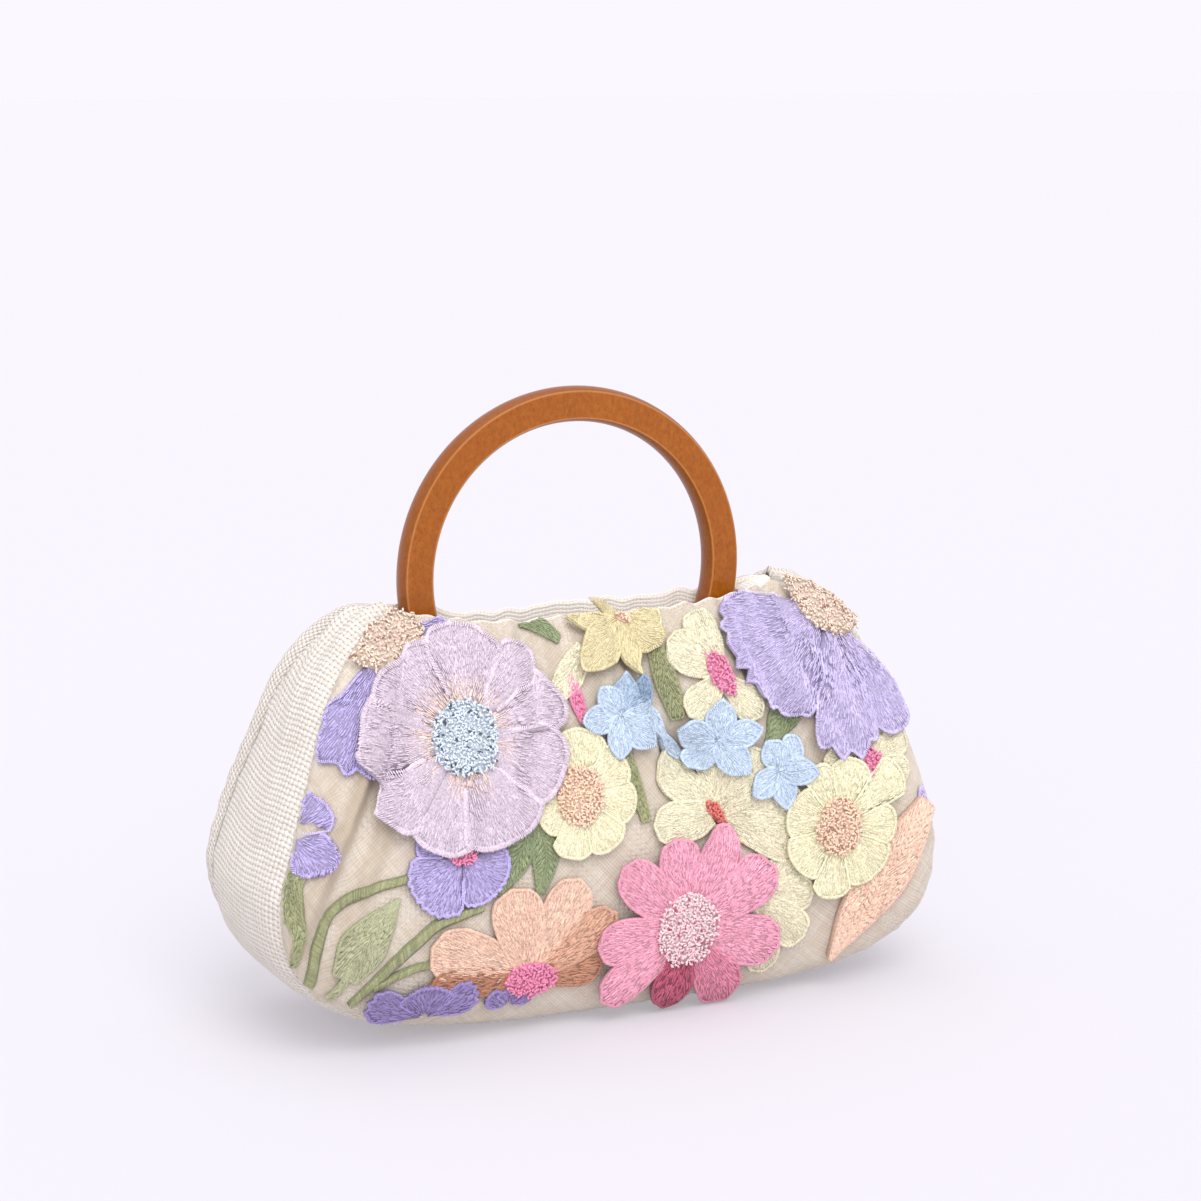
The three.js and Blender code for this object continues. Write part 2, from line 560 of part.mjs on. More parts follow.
// The handle is one turned ring that stands in the mouth.
const RING_RADIUS = (RING_DIAMETER - RING_WIDTH) / 2;
const ringCentre = new THREE.Vector3(RING_SHIFT, RING_SETBACK, SHOULDER_HEIGHT - FRONT_DIP + RING_RISE);

function ringProfile() {
  const corners = [[1, -1], [1, 1], [-1, 1], [-1, -1]];
  const points = [];
  corners.forEach(([outward, backward], n) => {
    for (const share of [0, 0.5, 1]) {
      const angle = (n - 1 + share) * Math.PI / 2;
      points.push(new THREE.Vector2(
        RING_RADIUS + outward * (RING_WIDTH / 2 - RING_ROUNDING) + RING_ROUNDING * Math.cos(angle),
        backward * (RING_DEPTH / 2 - RING_ROUNDING) + RING_ROUNDING * Math.sin(angle),
      ));
    }
  });
  points.push(points[0].clone());
  return points;
}

const ringGeometry = new THREE.LatheGeometry(ringProfile(), RING_SEGMENTS);
const handle = addPiece('wooden_handle', geometryOf(solidOf(ringGeometry)), 'wood', 0.35);
handle.position.copy(ringCentre);

// A cloth loop passes round the ring below the mouth and is sewn to the back panel inside.
function loopGeometry(side) {
  const angle = LOOP_ANGLE * RADIANS;
  const radial = new THREE.Vector3(side * Math.cos(angle), 0, -Math.sin(angle));
  const tangent = new THREE.Vector3(side * Math.sin(angle), 0, Math.cos(angle));
  const seat = ringCentre.clone().addScaledVector(radial, RING_RADIUS);
  const corner = (across, forward, up) => seat.clone()
    .addScaledVector(radial, across).addScaledVector(tangent, up).add(new THREE.Vector3(0, -forward, 0));
  const sewn = (point) => {
    const hits = new THREE.Raycaster(point, new THREE.Vector3(0, 1, 0)).intersectObject(backPanel);
    return point.clone().setY(hits[0].point.y - LOOP_SEAM_GAP);
  };
  const band = (spread) => [0.5, -0.5].map((share) => {
    const across = RING_WIDTH / 2 + LOOP_CLEARANCE + spread;
    const forward = RING_DEPTH / 2 + LOOP_CLEARANCE + spread;
    const left = corner(-across, forward, share * LOOP_HEIGHT);
    const right = corner(across, forward, share * LOOP_HEIGHT);
    return [sewn(left), left, right, sewn(right)];
  });
  return wallBetween(band(LOOP_WALL), band(0));
}

addPiece('handle_loop_left', loopGeometry(-1), 'cloth');
addPiece('handle_loop_right', loopGeometry(1), 'cloth');

// The origin is on the table, under the middle of the whole bag.
const middle = new THREE.Box3().setFromObject(bag).getCenter(new THREE.Vector3());
bag.position.set(-middle.x, -middle.y, 0);

export default bag;
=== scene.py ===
"""A small padded linen handbag with a sheer tulle layer, embroidered flowers and a turned wooden ring.

Sizes are in millimetres in the bag's own frame: x to the right, y to the back, z up from the table.
They become metres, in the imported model's frame, where a mesh is made.
"""

from __future__ import annotations

import sys

import logging
import math
from dataclasses import dataclass, field
from enum import Enum
from typing import Callable, Optional, Sequence

import bmesh
import bpy
import numpy as np
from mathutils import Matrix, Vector
from mathutils.bvhtree import BVHTree


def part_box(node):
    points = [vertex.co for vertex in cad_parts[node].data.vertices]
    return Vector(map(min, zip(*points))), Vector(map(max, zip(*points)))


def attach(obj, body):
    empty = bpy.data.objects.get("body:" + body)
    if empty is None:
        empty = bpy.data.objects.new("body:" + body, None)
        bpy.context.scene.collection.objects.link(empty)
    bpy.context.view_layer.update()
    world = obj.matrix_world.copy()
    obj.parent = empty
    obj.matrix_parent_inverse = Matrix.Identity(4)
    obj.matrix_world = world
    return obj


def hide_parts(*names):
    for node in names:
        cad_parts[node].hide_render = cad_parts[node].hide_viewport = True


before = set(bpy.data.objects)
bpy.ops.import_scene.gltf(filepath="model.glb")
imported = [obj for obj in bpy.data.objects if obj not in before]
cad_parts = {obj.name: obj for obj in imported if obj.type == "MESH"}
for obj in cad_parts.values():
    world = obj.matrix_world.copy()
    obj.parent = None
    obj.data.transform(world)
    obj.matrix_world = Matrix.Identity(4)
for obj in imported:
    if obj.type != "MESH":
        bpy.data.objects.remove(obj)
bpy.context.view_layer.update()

log = logging.getLogger("handbag")
MM = 0.001
TINY = 1e-9
FRONT, BACK = -1, 1
RING_CENTRE = (-1.0, 1.0, 136.0)
Array = np.ndarray
Colour = tuple[float, float, float]


def dyed(red: float, green: float, blue: float) -> Colour:
    """The linear colour of a screen colour given from 0 to 255."""
    return tuple(((c / 255) / 12.92 if c <= 10 else ((c / 255 + 0.055) / 1.055) ** 2.4)
                 for c in (red, green, blue))


# ----------------------------------------------------------------------
# Directions, lines and curves


def unit(vectors: Array) -> Array:
    """The same directions, each one long."""
    return vectors / np.maximum(np.linalg.norm(vectors, axis=-1, keepdims=True), TINY)


def arms(angle: Array) -> Array:
    """Directions at some angles from the right, in radians."""
    return np.stack([np.cos(angle), np.sin(angle)], -1)


def turned(points: Array, degrees: float) -> Array:
    """Points turned about the origin."""
    c, s = math.cos(math.radians(degrees)), math.sin(math.radians(degrees))
    return points @ np.array([[c, s], [-s, c]])


def arc_lengths(line: Array) -> Array:
    """How far each point of a line lies from its start, along it."""
    return np.concatenate([[0], np.cumsum(np.linalg.norm(np.diff(line, axis=0), axis=1))])


def along_line(values: Array, lengths: Array, spots: Array) -> Array:
    """Rows of values that are known at some lengths along a line, at other lengths."""
    return np.stack([np.interp(spots, lengths, column) for column in values.T], -1)


def eased(share: Array) -> Array:
    """A rise from 0 to 1 that slows down as it gets there."""
    return np.sin(np.minimum(1, share) * math.pi / 2)


def smooth_through(values: Array, at: Array, beyond: Optional[float] = None) -> Array:
    """A smooth curve through some values.

    Args:
        values: the values, one for each whole number.
        at: the places that are asked for.
        beyond: what the curve heads for after its last value, straight on if None.

    Returns:
        The curve's value at each place.
    """
    after = 2 * values[-1] - values[-2] if beyond is None else beyond
    known = np.concatenate([[2 * values[0] - values[1]], values, [after]])
    i = np.clip(np.floor(at).astype(int), 0, len(values) - 2)
    f = at - i
    a, b, c, d = known[i], known[i + 1], known[i + 2], known[i + 3]
    return b + 0.5 * f * (c - a + f * (2 * a - 5 * b + 4 * c - d + f * (3 * (b - c) + d - a)))


def ripple(x: Array, seed: int, wavelength: float, count: int = 5) -> Array:
    """A smooth, repeatable, uneven wave between about -1 and 1."""
    draw = np.random.default_rng(seed)
    total = np.zeros_like(x)
    for _ in range(count):
        scale = draw.uniform(0.55, 1.7)
        total += np.sin(2 * math.pi * x / (wavelength * scale) + draw.uniform(0, 2 * math.pi))
    return total / math.sqrt(count) / 1.2


# ----------------------------------------------------------------------
# The bag's form


@dataclass(frozen=True)
class Fold:
    """A fold pressed into the front panel, from one place to another, in mm."""

    start: tuple[float, float]
    end: tuple[float, float]
    width: float
    depth: float


@dataclass(frozen=True)
class BagForm:
    """The padded body: two panels and a gusset strip, on seams that follow ten sections."""

    shoulder_height: float = 129.5
    half_width: float = 112.0
    half_gusset: float = 31.0
    front_swell: float = 9.0
    back_swell: float = 13.0
    back_puff: float = 4.5
    back_rise: float = 3.0
    front_dip: float = 6.5
    back_dip: float = 5.5
    mouth_half_depth: float = 9.6
    wall: float = 2.2
    gusset_crown: float = 2.6
    seam_gap: float = 0.3
    corner_row: float = 6.4
    up: tuple[float, ...] = (1.0, 0.961, 0.834, 0.664, 0.51, 0.355, 0.201, 0.077, 0.023, 0.012)
    left: tuple[float, ...] = (0.563, 0.656, 0.786, 0.871, 0.938, 0.982, 0.929, 0.732, 0.42, 0.0)
    right: tuple[float, ...] = (0.607, 0.723, 0.844, 0.924, 0.978, 1.013, 0.982, 0.821, 0.536, 0.0)
    front: tuple[float, ...] = (0.113, 0.258, 0.532, 0.758, 0.919, 1.0, 0.968, 0.887, 0.823, 0.806)
    back: tuple[float, ...] = (0.129, 0.419, 0.645, 0.806, 0.935, 1.0, 0.968, 0.887, 0.823, 0.806)
    folds: tuple[Fold, ...] = (
        Fold((10.1, 111.4), (22.4, 80.3), 6.75, 3.06),
        Fold((22.4, 80.3), (37.0, 55.7), 7.2, 3.78),
        Fold((-69.4, 108.8), (-93.0, 46.6), 6.3, 1.8),
        Fold((47.0, 116.6), (56.0, 85.5), 6.3, 1.8),
        Fold((-22.4, 119.1), (-26.9, 95.8), 6.3, 1.62),
    )

    def seam_value(self, t: Array, column: str) -> Array:
        """A smooth curve through one column of the sections.

        Args:
            t: places along the seam, 0 at the mouth and 9 under the middle of the base.
            column: the name of the column.

        Returns:
            The column's value at each place.
        """
        rows = np.array(getattr(self, column))
        beyond = -rows[-2] if column in ("left", "right") else rows[-2]
        return smooth_through(rows, t, beyond)

    def seam_point(self, t: Array, side: Array, face: int) -> Array:
        """Points on the front or back seam, at the left (side -1) or the right (side 1)."""
        width = np.where(side < 0, self.seam_value(t, "left"), self.seam_value(t, "right"))
        depth = self.half_gusset * self.seam_value(t, "front" if face == FRONT else "back")
        height = self.shoulder_height * self.seam_value(t, "up")
        return np.stack([side * self.half_width * width, face * (depth + self.seam_gap / 2), height], -1)

    def seam_normal(self, t: Array, side: Array) -> Array:
        """Outward directions at the seam, square to the front-to-back direction."""
        step = 0.01
        along = self.seam_point(np.minimum(t + step, 9), side, FRONT)
        along = along - self.seam_point(np.maximum(t - step, 0), side, FRONT)
        outward = np.stack([-side * along[..., 2], 0 * side, side * along[..., 0]], -1)
        return unit(outward)

    def lower_seam(self, u: Array) -> tuple[Array, Array]:
        """Where a panel's lower edge at u meets the seam, as a place along it and a side."""
        middle = 2 * u - 1
        t = self.corner_row + (9 - self.corner_row) * (1 - np.abs(middle))
        return t, np.where(middle < 0, -1.0, 1.0)

    def seam_course(self, side_count: int, base_count: int) -> tuple[Array, Array]:
        """A whole seam, from the mouth's left end under the base to its right end.

        Args:
            side_count: the number of places down each side.
            base_count: the number of places under the base, with the two corners.

        Returns:
            The places along the seam and their sides.
        """
        down = np.linspace(0, 1, side_count) * self.corner_row
        base, side = self.lower_seam(np.linspace(0, 1, base_count)[1:-1])
        return (np.concatenate([down, base, down[::-1]]),
                np.concatenate([-np.ones(side_count), side, np.ones(side_count)]))

    def mouth_point(self, u: Array, face: int) -> Array:
        """Points on a panel's mouth edge, from its left end to its right end."""
        zero = np.zeros_like(u)
        left, right = self.seam_point(zero, zero - 1, face), self.seam_point(zero, zero + 1, face)
        outward = np.abs(2 * u - 1)
        dip = self.front_dip if face == FRONT else self.back_dip
        middle = face * self.mouth_half_depth
        return np.stack([
            left[..., 0] + (right[..., 0] - left[..., 0]) * u,
            middle + (left[..., 1] - middle) * outward**8,
            left[..., 2] - dip * (1 - outward**3),
        ], -1)

    def fold_depth(self, x: Array, z: Array) -> Array:
        """How deep the folds press into the front panel."""
        depth = np.zeros_like(x)
        for fold in self.folds:
            start, end = np.array(fold.start), np.array(fold.end)
            along = end - start
            place = np.stack([x, z], -1) - start
            share = np.clip(place @ along / (along @ along), 0, 1)
            distance = np.linalg.norm(place - share[..., None] * along, axis=-1)
            depth += fold.depth * np.exp(-((distance / fold.width) ** 2))
        return depth

    def panel(self, u: Array, v: Array, face: int) -> Array:
        """Points on a panel's outer face, with u from left to right and v from the mouth down."""
        t, lower_side = self.lower_seam(u)
        u1, v1 = u[..., None], v[..., None]
        sides = ((-np.ones_like(u), 1 - u1), (np.ones_like(u), u1))
        point = self.mouth_point(u, face) * (1 - v1) + self.seam_point(t, lower_side, face) * v1
        for side, share in sides:
            point = point + self.seam_point(v * self.corner_row, side, face) * share
        for corner, weight in ((np.zeros_like(u), 1 - v1), (np.full_like(u, self.corner_row), v1)):
            for side, share in sides:
                point = point - self.seam_point(corner, side, face) * share * weight
        across = np.maximum(0, 1 - np.abs(2 * u - 1) ** 5)
        down = np.sqrt(np.maximum(0, 1 - v**6))
        inset = np.minimum(u, 1 - u)
        if face == FRONT:
            point[..., 1] -= self.front_swell * across**0.5 * down * eased(v / 0.6)
            fade = np.minimum(1, 6 * inset) * np.minimum(1, 6 * v * (1 - v))
            point[..., 1] += self.fold_depth(point[..., 0], point[..., 2]) * fade
            return point
        edge = np.sin(math.pi * np.sqrt(np.minimum(1, inset / 0.16)))
        puff = self.back_puff * np.sqrt(np.abs(np.sin(math.pi * np.minimum(1, v / 0.9))))
        point[..., 1] += self.back_swell * across**0.36 * down * eased(v / 0.35)
        point[..., 0] += np.sign(u - 0.5) * puff * edge
        point[..., 2] += self.back_rise * edge * np.sin(math.pi * np.minimum(1, v / 0.4))
        return point


FORM = BagForm()


def grid_normals(points: Array, face: int) -> Array:
    """Outward directions on a grid of panel points, rows from the mouth down."""
    across = np.gradient(points, axis=1)
    down = np.gradient(points, axis=0)
    normal = unit(np.cross(across, down))
    return normal if normal[..., 1].mean() * face > 0 else -normal


# ----------------------------------------------------------------------
# Mesh making


def model_shift() -> Array:
    """Where the bag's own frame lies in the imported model's frame, in mm, from the ring's box."""
    low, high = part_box("wooden_handle")
    middle = (np.array(low) + np.array(high)) / 2 / MM
    return np.array([middle[0] - RING_CENTRE[0], middle[1] - RING_CENTRE[1], 0.0])


SHIFT = model_shift()


def make_object(name: str, points: Array, faces: Sequence[Sequence[int]],
                uv: Optional[Array] = None) -> bpy.types.Object:
    """Makes a smooth-shaded mesh object.

    Args:
        name: the object's name.
        points: vertices in mm, in the bag's frame.
        faces: rows of vertex numbers.
        uv: cloth coordinates of each vertex, in mm.

    Returns:
        The object, at the origin, with its place in its mesh.
    """
    mesh = bpy.data.meshes.new(name)
    mesh.from_pydata(((points + SHIFT) * MM).tolist(), [], [list(map(int, f)) for f in faces])
    mesh.polygons.foreach_set("use_smooth", np.ones(len(mesh.polygons), bool))
    if uv is not None:
        loops = np.zeros(len(mesh.loops), np.int32)
        mesh.loops.foreach_get("vertex_index", loops)
        layer = mesh.uv_layers.new(name="cloth")
        layer.data.foreach_set("uv", uv[loops].astype(np.float32).ravel())
    mesh.validate()
    thing = bpy.data.objects.new(name, mesh)
    bpy.context.scene.collection.objects.link(thing)
    return thing


def grid_faces(rows: int, columns: int, first: int = 0, flip: bool = False, around: bool = False,
               closed: bool = False) -> list[tuple[int, ...]]:
    """Quads of a grid of vertices.

    Args:
        rows: the number of rows.
        columns: the number of vertices in a row.
        first: the number of the grid's first vertex.
        flip: whether the faces turn the other way.
        around: whether the last column is joined to the first.
        closed: whether the last row is joined to the first.

    Returns:
        The faces, row by row.
    """
    faces = []
    for j in range(rows if closed else rows - 1):
        here, below = first + j * columns, first + (j + 1) % rows * columns
        for i in range(columns if around else columns - 1):
            k = (i + 1) % columns
            quad = (here + i, below + i, below + k, here + k)
            faces.append(quad[::-1] if flip else quad)
    return faces


def cloth_lengths(points: Array) -> Array:
    """Cloth coordinates of a grid: lengths along its rows from the middle, and down its columns."""
    across = np.linalg.norm(np.diff(points, axis=1), axis=-1)
    along = np.concatenate([np.zeros((len(points), 1)), np.cumsum(across, axis=1)], axis=1)
    along -= along[:, points.shape[1] // 2][:, None]
    down = np.linalg.norm(np.diff(points, axis=0), axis=-1)
    down = np.concatenate([np.zeros((1, points.shape[1])), np.cumsum(down, axis=0)])
    return np.stack([along, -down], -1)


def shell(name: str, outer: Array, inner: Array, roll: float = 0.0) -> bpy.types.Object:
    """A closed cloth wall between two grids, with a rolled edge along the first row.

    Args:
        name: the object's name.
        outer: the grid of the outer face.
        inner: the grid of the inner face.
        roll: how far the rolled edge stands over the wall, in mm.

    Returns:
        The wall as an object.
    """
    lengths = cloth_lengths(outer)
    layers, cloth = [inner[::-1], outer], [lengths[::-1], lengths]
    if roll:
        layers.insert(1, (outer[:1] + inner[:1]) / 2 + np.array([0.0, 0.0, roll]))
        cloth.insert(1, lengths[:1])
    stack = np.concatenate(layers)
    rows, columns = stack.shape[:2]
    faces = grid_faces(rows, columns)
    inner_rows = len(inner)
    outer_first = inner_rows + len(layers) - 2

    def at(j: int, i: int) -> int:
        """A vertex's number, from its row and its column."""
        return j * columns + i

    for j in range(inner_rows - 1):
        p, q = inner_rows - 1 - j, outer_first + j
        faces.append((at(q, 0), at(q + 1, 0), at(p - 1, 0), at(p, 0))[::-1])
        faces.append((at(q, columns - 1), at(q + 1, columns - 1), at(p - 1, columns - 1),
                      at(p, columns - 1)))
    if roll:
        m = inner_rows
        faces.append((at(m - 1, 0), at(m, 0), at(m + 1, 0)))
        faces.append((at(m + 1, columns - 1), at(m, columns - 1), at(m - 1, columns - 1)))
    for i in range(columns - 1):
        faces.append((at(0, i + 1), at(rows - 1, i + 1), at(rows - 1, i), at(0, i))[::-1])
    thing = make_object(name, stack.reshape(-1, 3), faces, np.concatenate(cloth).reshape(-1, 2))
    face_outwards(thing)
    return thing


def face_outwards(thing: bpy.types.Object) -> None:
    """Turns a closed mesh's faces outwards."""
    work = bmesh.new()
    work.from_mesh(thing.data)
    bmesh.ops.recalc_face_normals(work, faces=work.faces)
    if work.calc_volume(signed=True) < 0:
        bmesh.ops.reverse_faces(work, faces=work.faces)
    work.to_mesh(thing.data)
    work.free()


def hand_over(thing: bpy.types.Object, finish: Optional[Finish], slot: str, *nodes: str) -> None:
    """Gives a piece its finish, the root body and the CAD nodes it stands for."""
    if finish is not None:
        thing.data.materials.append(finish.material())
    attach(thing, "root")
    if nodes:
        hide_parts(*nodes)
    log.info("%s: %d faces", thing.name, len(thing.data.polygons))


# ----------------------------------------------------------------------
# Materials


class Board:
    """A short way to lay out the nodes of one tree."""

    def __init__(self, tree: bpy.types.NodeTree) -> None:
        """Keeps the tree."""
        self.tree = tree

    def feed(self, socket: bpy.types.NodeSocket, value: object) -> None:
        """Links a socket to another, or sets its value."""
        if isinstance(value, bpy.types.NodeSocket):
            self.tree.links.new(value, socket)
        elif socket.type == "RGBA" and isinstance(value, tuple) and len(value) == 3:
            socket.default_value = (*value, 1.0)
        else:
            socket.default_value = value

    def feeds(self, node: bpy.types.Node, values: dict[str | int, object]) -> bpy.types.Node:
        """Feeds some of a node's inputs, which go by name or number."""
        for key, value in values.items():
            self.feed(node.inputs[key], value)
        return node

    def node(self, kind: str, values: Optional[dict[str | int, object]] = None,
             **settings: object) -> bpy.types.Node:
        """Adds a node, sets its properties and feeds its inputs."""
        made = self.tree.nodes.new(kind)
        for key, value in settings.items():
            setattr(made, key, value)
        return self.feeds(made, values or {})

    def math(self, operation: str, *values: object) -> bpy.types.NodeSocket:
        """A math node's result."""
        return self.node("ShaderNodeMath", dict(enumerate(values)), operation=operation).outputs[0]

    def mix(self, share: object, first: object, second: object) -> bpy.types.NodeSocket:
        """A colour between two others."""
        values = {"Factor": share, 6: first, 7: second}
        return self.node("ShaderNodeMix", values, data_type="RGBA").outputs[2]

    def noise(self, vector: object, scale: float, detail: float = 2.0, rough: float = 0.5,
              output: str = "Fac") -> bpy.types.NodeSocket:
        """A noise texture's value, or its colour."""
        values = {"Vector": vector, "Scale": scale, "Detail": detail, "Roughness": rough}
        return self.node("ShaderNodeTexNoise", values).outputs[output]

    def mapped(self, vector: object, **places: tuple[float, float, float]) -> bpy.types.NodeSocket:
        """A vector after a mapping node, with its scale or its rotation."""
        return self.node("ShaderNodeMapping", {"Vector": vector, **places}).outputs[0]

    def vector(self, operation: str, first: object, second: object) -> bpy.types.NodeSocket:
        """A vector math node's result: its second input is a scale where it scales."""
        values = {0: first, "Scale" if operation == "SCALE" else 1: second}
        return self.node("ShaderNodeVectorMath", values, operation=operation).outputs[0]

    def attribute(self, name: str, output: str = "Fac") -> bpy.types.NodeSocket:
        """A mesh attribute's value, or its colour."""
        return self.node("ShaderNodeAttribute", attribute_name=name).outputs[output]

    def bump(self, height: object, strength: float, distance: float) -> bpy.types.NodeSocket:
        """A bump node's normal, with its depth in metres."""
        values = {"Height": height, "Strength": strength, "Distance": distance}
        return self.node("ShaderNodeBump", values).outputs["Normal"]

    def remap(self, value: object, low: float, high: float, to_low: float = 0.0,
              to_high: float = 1.0) -> bpy.types.NodeSocket:
        """A value moved from one range to another, and kept inside it."""
        values = dict(enumerate((value, low, high, to_low, to_high)))
        return self.node("ShaderNodeMapRange", values).outputs[0]


def shader_group(name: str, inputs: dict[str, Optional[float]],
                 outputs: Sequence[str]) -> tuple[bpy.types.NodeTree, Board, object, object]:
    """Starts a shader node group.

    Args:
        name: the group's name.
        inputs: each input's name and default value, None for a vector.
        outputs: the names of its outputs, which are numbers.

    Returns:
        The tree, its board, its input node and its output node.
    """
    tree = bpy.data.node_groups.new(name, "ShaderNodeTree")
    for key, value in inputs.items():
        kind = "NodeSocketVector" if value is None else "NodeSocketFloat"
        socket = tree.interface.new_socket(key, in_out="INPUT", socket_type=kind)
        if value is not None:
            socket.default_value = value
    for key in outputs:
        tree.interface.new_socket(key, in_out="OUTPUT", socket_type="NodeSocketFloat")
    board = Board(tree)
    return tree, board, board.node("NodeGroupInput"), board.node("NodeGroupOutput")


def plain_weave_group() -> bpy.types.NodeTree:
    """A plain weave of round, slightly uneven threads: its height, its gaps and its slubs."""
    tree, b, start, end = shader_group("plain_weave", {"Cloth": None, "Pitch": 1.65, "Unevenness": 0.25},
                                       ("Height", "Gap", "Slub"))
    cloth = start.outputs["Cloth"]
    centred = b.vector("SUBTRACT", b.noise(cloth, 0.06, output="Color"), (0.5, 0.5, 0.5))
    shifted = b.vector("SCALE", centred, b.math("MULTIPLY", start.outputs["Unevenness"], 3.2))
    axes = b.node("ShaderNodeSeparateXYZ", {0: b.vector("ADD", cloth, shifted)})
    turn = b.math("DIVIDE", math.pi, start.outputs["Pitch"])
    warp, weft = (b.math("COSINE", b.math("MULTIPLY", axes.outputs[axis], turn)) for axis in "XY")
    warp_body, weft_body = (b.math("POWER", b.math("ABSOLUTE", wave), 0.55) for wave in (warp, weft))
    over = b.math("MULTIPLY", b.math("SIGN", warp), weft)
    under = b.math("MULTIPLY", b.math("SIGN", weft), warp)
    warp_height = b.math("MULTIPLY", warp_body, b.math("MULTIPLY_ADD", over, 0.36, 0.62))
    weft_height = b.math("MULTIPLY", weft_body, b.math("MULTIPLY_ADD", under, -0.36, 0.62))
    lengthways, crossways = (b.noise(b.mapped(cloth, Scale=scale), 1.0)
                             for scale in ((0.9, 0.07, 1.0), (0.07, 0.9, 1.0)))
    b.feeds(end, {
        "Height": b.math("MAXIMUM", warp_height, weft_height),
        "Gap": b.remap(b.math("MAXIMUM", warp_body, weft_body), 0.72, 0.38),
        "Slub": b.remap(b.math("ADD", lengthways, crossways), 0.75, 1.25),
    })
    return tree


def wood_grain_group() -> bpy.types.NodeTree:
    """Fine wood figure round a ring: its streaks, its pores and its slow changes of tone."""
    tree, b, start, end = shader_group("turned_grain", {"Place": None}, ("Streak", "Pore", "Tone"))
    place = start.outputs["Place"]
    spaced = b.mapped(place, Scale=(1500.0, 1500.0, 700.0))
    pores = b.node("ShaderNodeTexVoronoi", {"Vector": spaced, "Scale": 1.0}, feature="F1")
    b.feeds(end, {
        "Streak": b.noise(b.mapped(place, Scale=(800.0, 900.0, 520.0)), 1.0, 4.0, 0.6),
        "Pore": b.remap(pores.outputs["Distance"], 0.12, 0.34),
        "Tone": b.noise(place, 38.0, 3.0, 0.55),
    })
    return tree


WEAVE = plain_weave_group()
GRAIN = wood_grain_group()


def new_material(name: str) -> tuple[bpy.types.Material, Board, bpy.types.Node]:
    """Starts a material.

    Args:
        name: the material's name.

    Returns:
        The material, its board and its Principled shader.
    """
    material = bpy.data.materials.new(name)
    material.use_nodes = True
    shader = material.node_tree.nodes["Principled BSDF"]
    return material, Board(material.node_tree), shader


@dataclass(frozen=True)
class WovenCloth:
    """A woven cloth's finish."""

    name: str
    thread: Colour
    # shade is a darker tone for slubs and for the painted shade in the weave's low places; gap is painted
    # shade between the threads.
    shade: Colour
    gap: Colour
    pitch: float = 1.65
    unevenness: float = 0.25
    relief: float = 1.0
    roughness: float = 0.92

    def make(self) -> bpy.types.Material:
        """Builds the material."""
        material, b, shader = new_material(self.name)
        cloth = b.node("ShaderNodeUVMap", uv_map="cloth").outputs[0]
        weave = b.node("ShaderNodeGroup", node_tree=WEAVE)
        b.feeds(weave, {"Cloth": cloth, "Pitch": self.pitch, "Unevenness": self.unevenness})
        tone = b.mix(weave.outputs["Slub"], self.shade, self.thread)
        # Painted shade: the thread's low places are darkened towards the shade colour.
        crest = b.remap(weave.outputs["Height"], 0.35, 0.9)
        tone = b.mix(b.math("MULTIPLY_ADD", crest, -0.35, 0.35), tone, self.shade)
        # Painted shade: the gaps between threads take the gap colour.
        tone = b.mix(b.math("MULTIPLY", weave.outputs["Gap"], 0.85), tone, self.gap)
        normal = b.bump(weave.outputs["Height"], self.relief, 0.9 * MM)
        b.feeds(shader, {"Base Color": tone, "Normal": normal, "Roughness": self.roughness,
                         "Specular IOR Level": 0.2, "Sheen Weight": 0.15})
        return material


@dataclass(frozen=True)
class SheerNet:
    """The tulle's finish: a fine net that hides some of what is behind it."""

    name: str
    thread: Colour
    cover: float = 0.36
    pitch: float = 0.9

    def make(self) -> bpy.types.Material:
        """Builds the material."""
        material, b, shader = new_material(self.name)
        cloth = b.node("ShaderNodeUVMap", uv_map="cloth").outputs[0]
        slanted = b.mapped(cloth, Rotation=(0.0, 0.0, math.radians(45)))
        net = b.node("ShaderNodeGroup", node_tree=WEAVE)
        b.feeds(net, {"Cloth": slanted, "Pitch": self.pitch, "Unevenness": 0.15})
        cloudy = b.remap(b.noise(cloth, 0.08), 0.35, 0.65, -0.08, 0.08)
        cover = b.math("ADD", b.math("MULTIPLY_ADD", net.outputs["Height"], 0.2, self.cover - 0.12), cloudy)
        folded = b.attribute("folded")
        cover = b.math("MULTIPLY_ADD", folded, 0.42, cover)
        tone = b.mix(net.outputs["Slub"], self.thread, dyed(244, 236, 222))
        # Folded double, the tulle covers more, and it is painted darker there as painted shade in the
        # pleats.
        tone = b.mix(b.math("MULTIPLY", folded, 0.95), tone, dyed(188, 169, 143))
        b.feeds(shader, {"Base Color": tone, "Alpha": cover, "Roughness": 0.7, "Sheen Weight": 0.3,
                         "Normal": b.bump(net.outputs["Height"], 0.3, 0.2 * MM)})
        return material


@dataclass(frozen=True)
class EmbroideryThread:
    """Stitched thread whose dye is carried by the mesh's own colour attribute."""

    name: str
    roughness: float = 0.4
    sheen: float = 0.25
    fuzz: float = 0.25

    def make(self) -> bpy.types.Material:
        """Builds the material."""
        material, b, shader = new_material(self.name)
        place = b.node("ShaderNodeTexCoord").outputs["Object"]
        speck = b.remap(b.noise(place, 1800.0), 0.3, 0.7, 1 - self.fuzz, 1 + self.fuzz * 0.4)
        b.feeds(shader, {"Base Color": b.vector("SCALE", b.attribute("dye", "Color"), speck),
                         "Normal": b.bump(b.noise(place, 2600.0), 0.35, 0.12 * MM),
                         "Roughness": self.roughness, "Specular IOR Level": 0.45,
                         "Sheen Weight": self.sheen, "Sheen Roughness": 0.4})
        return material


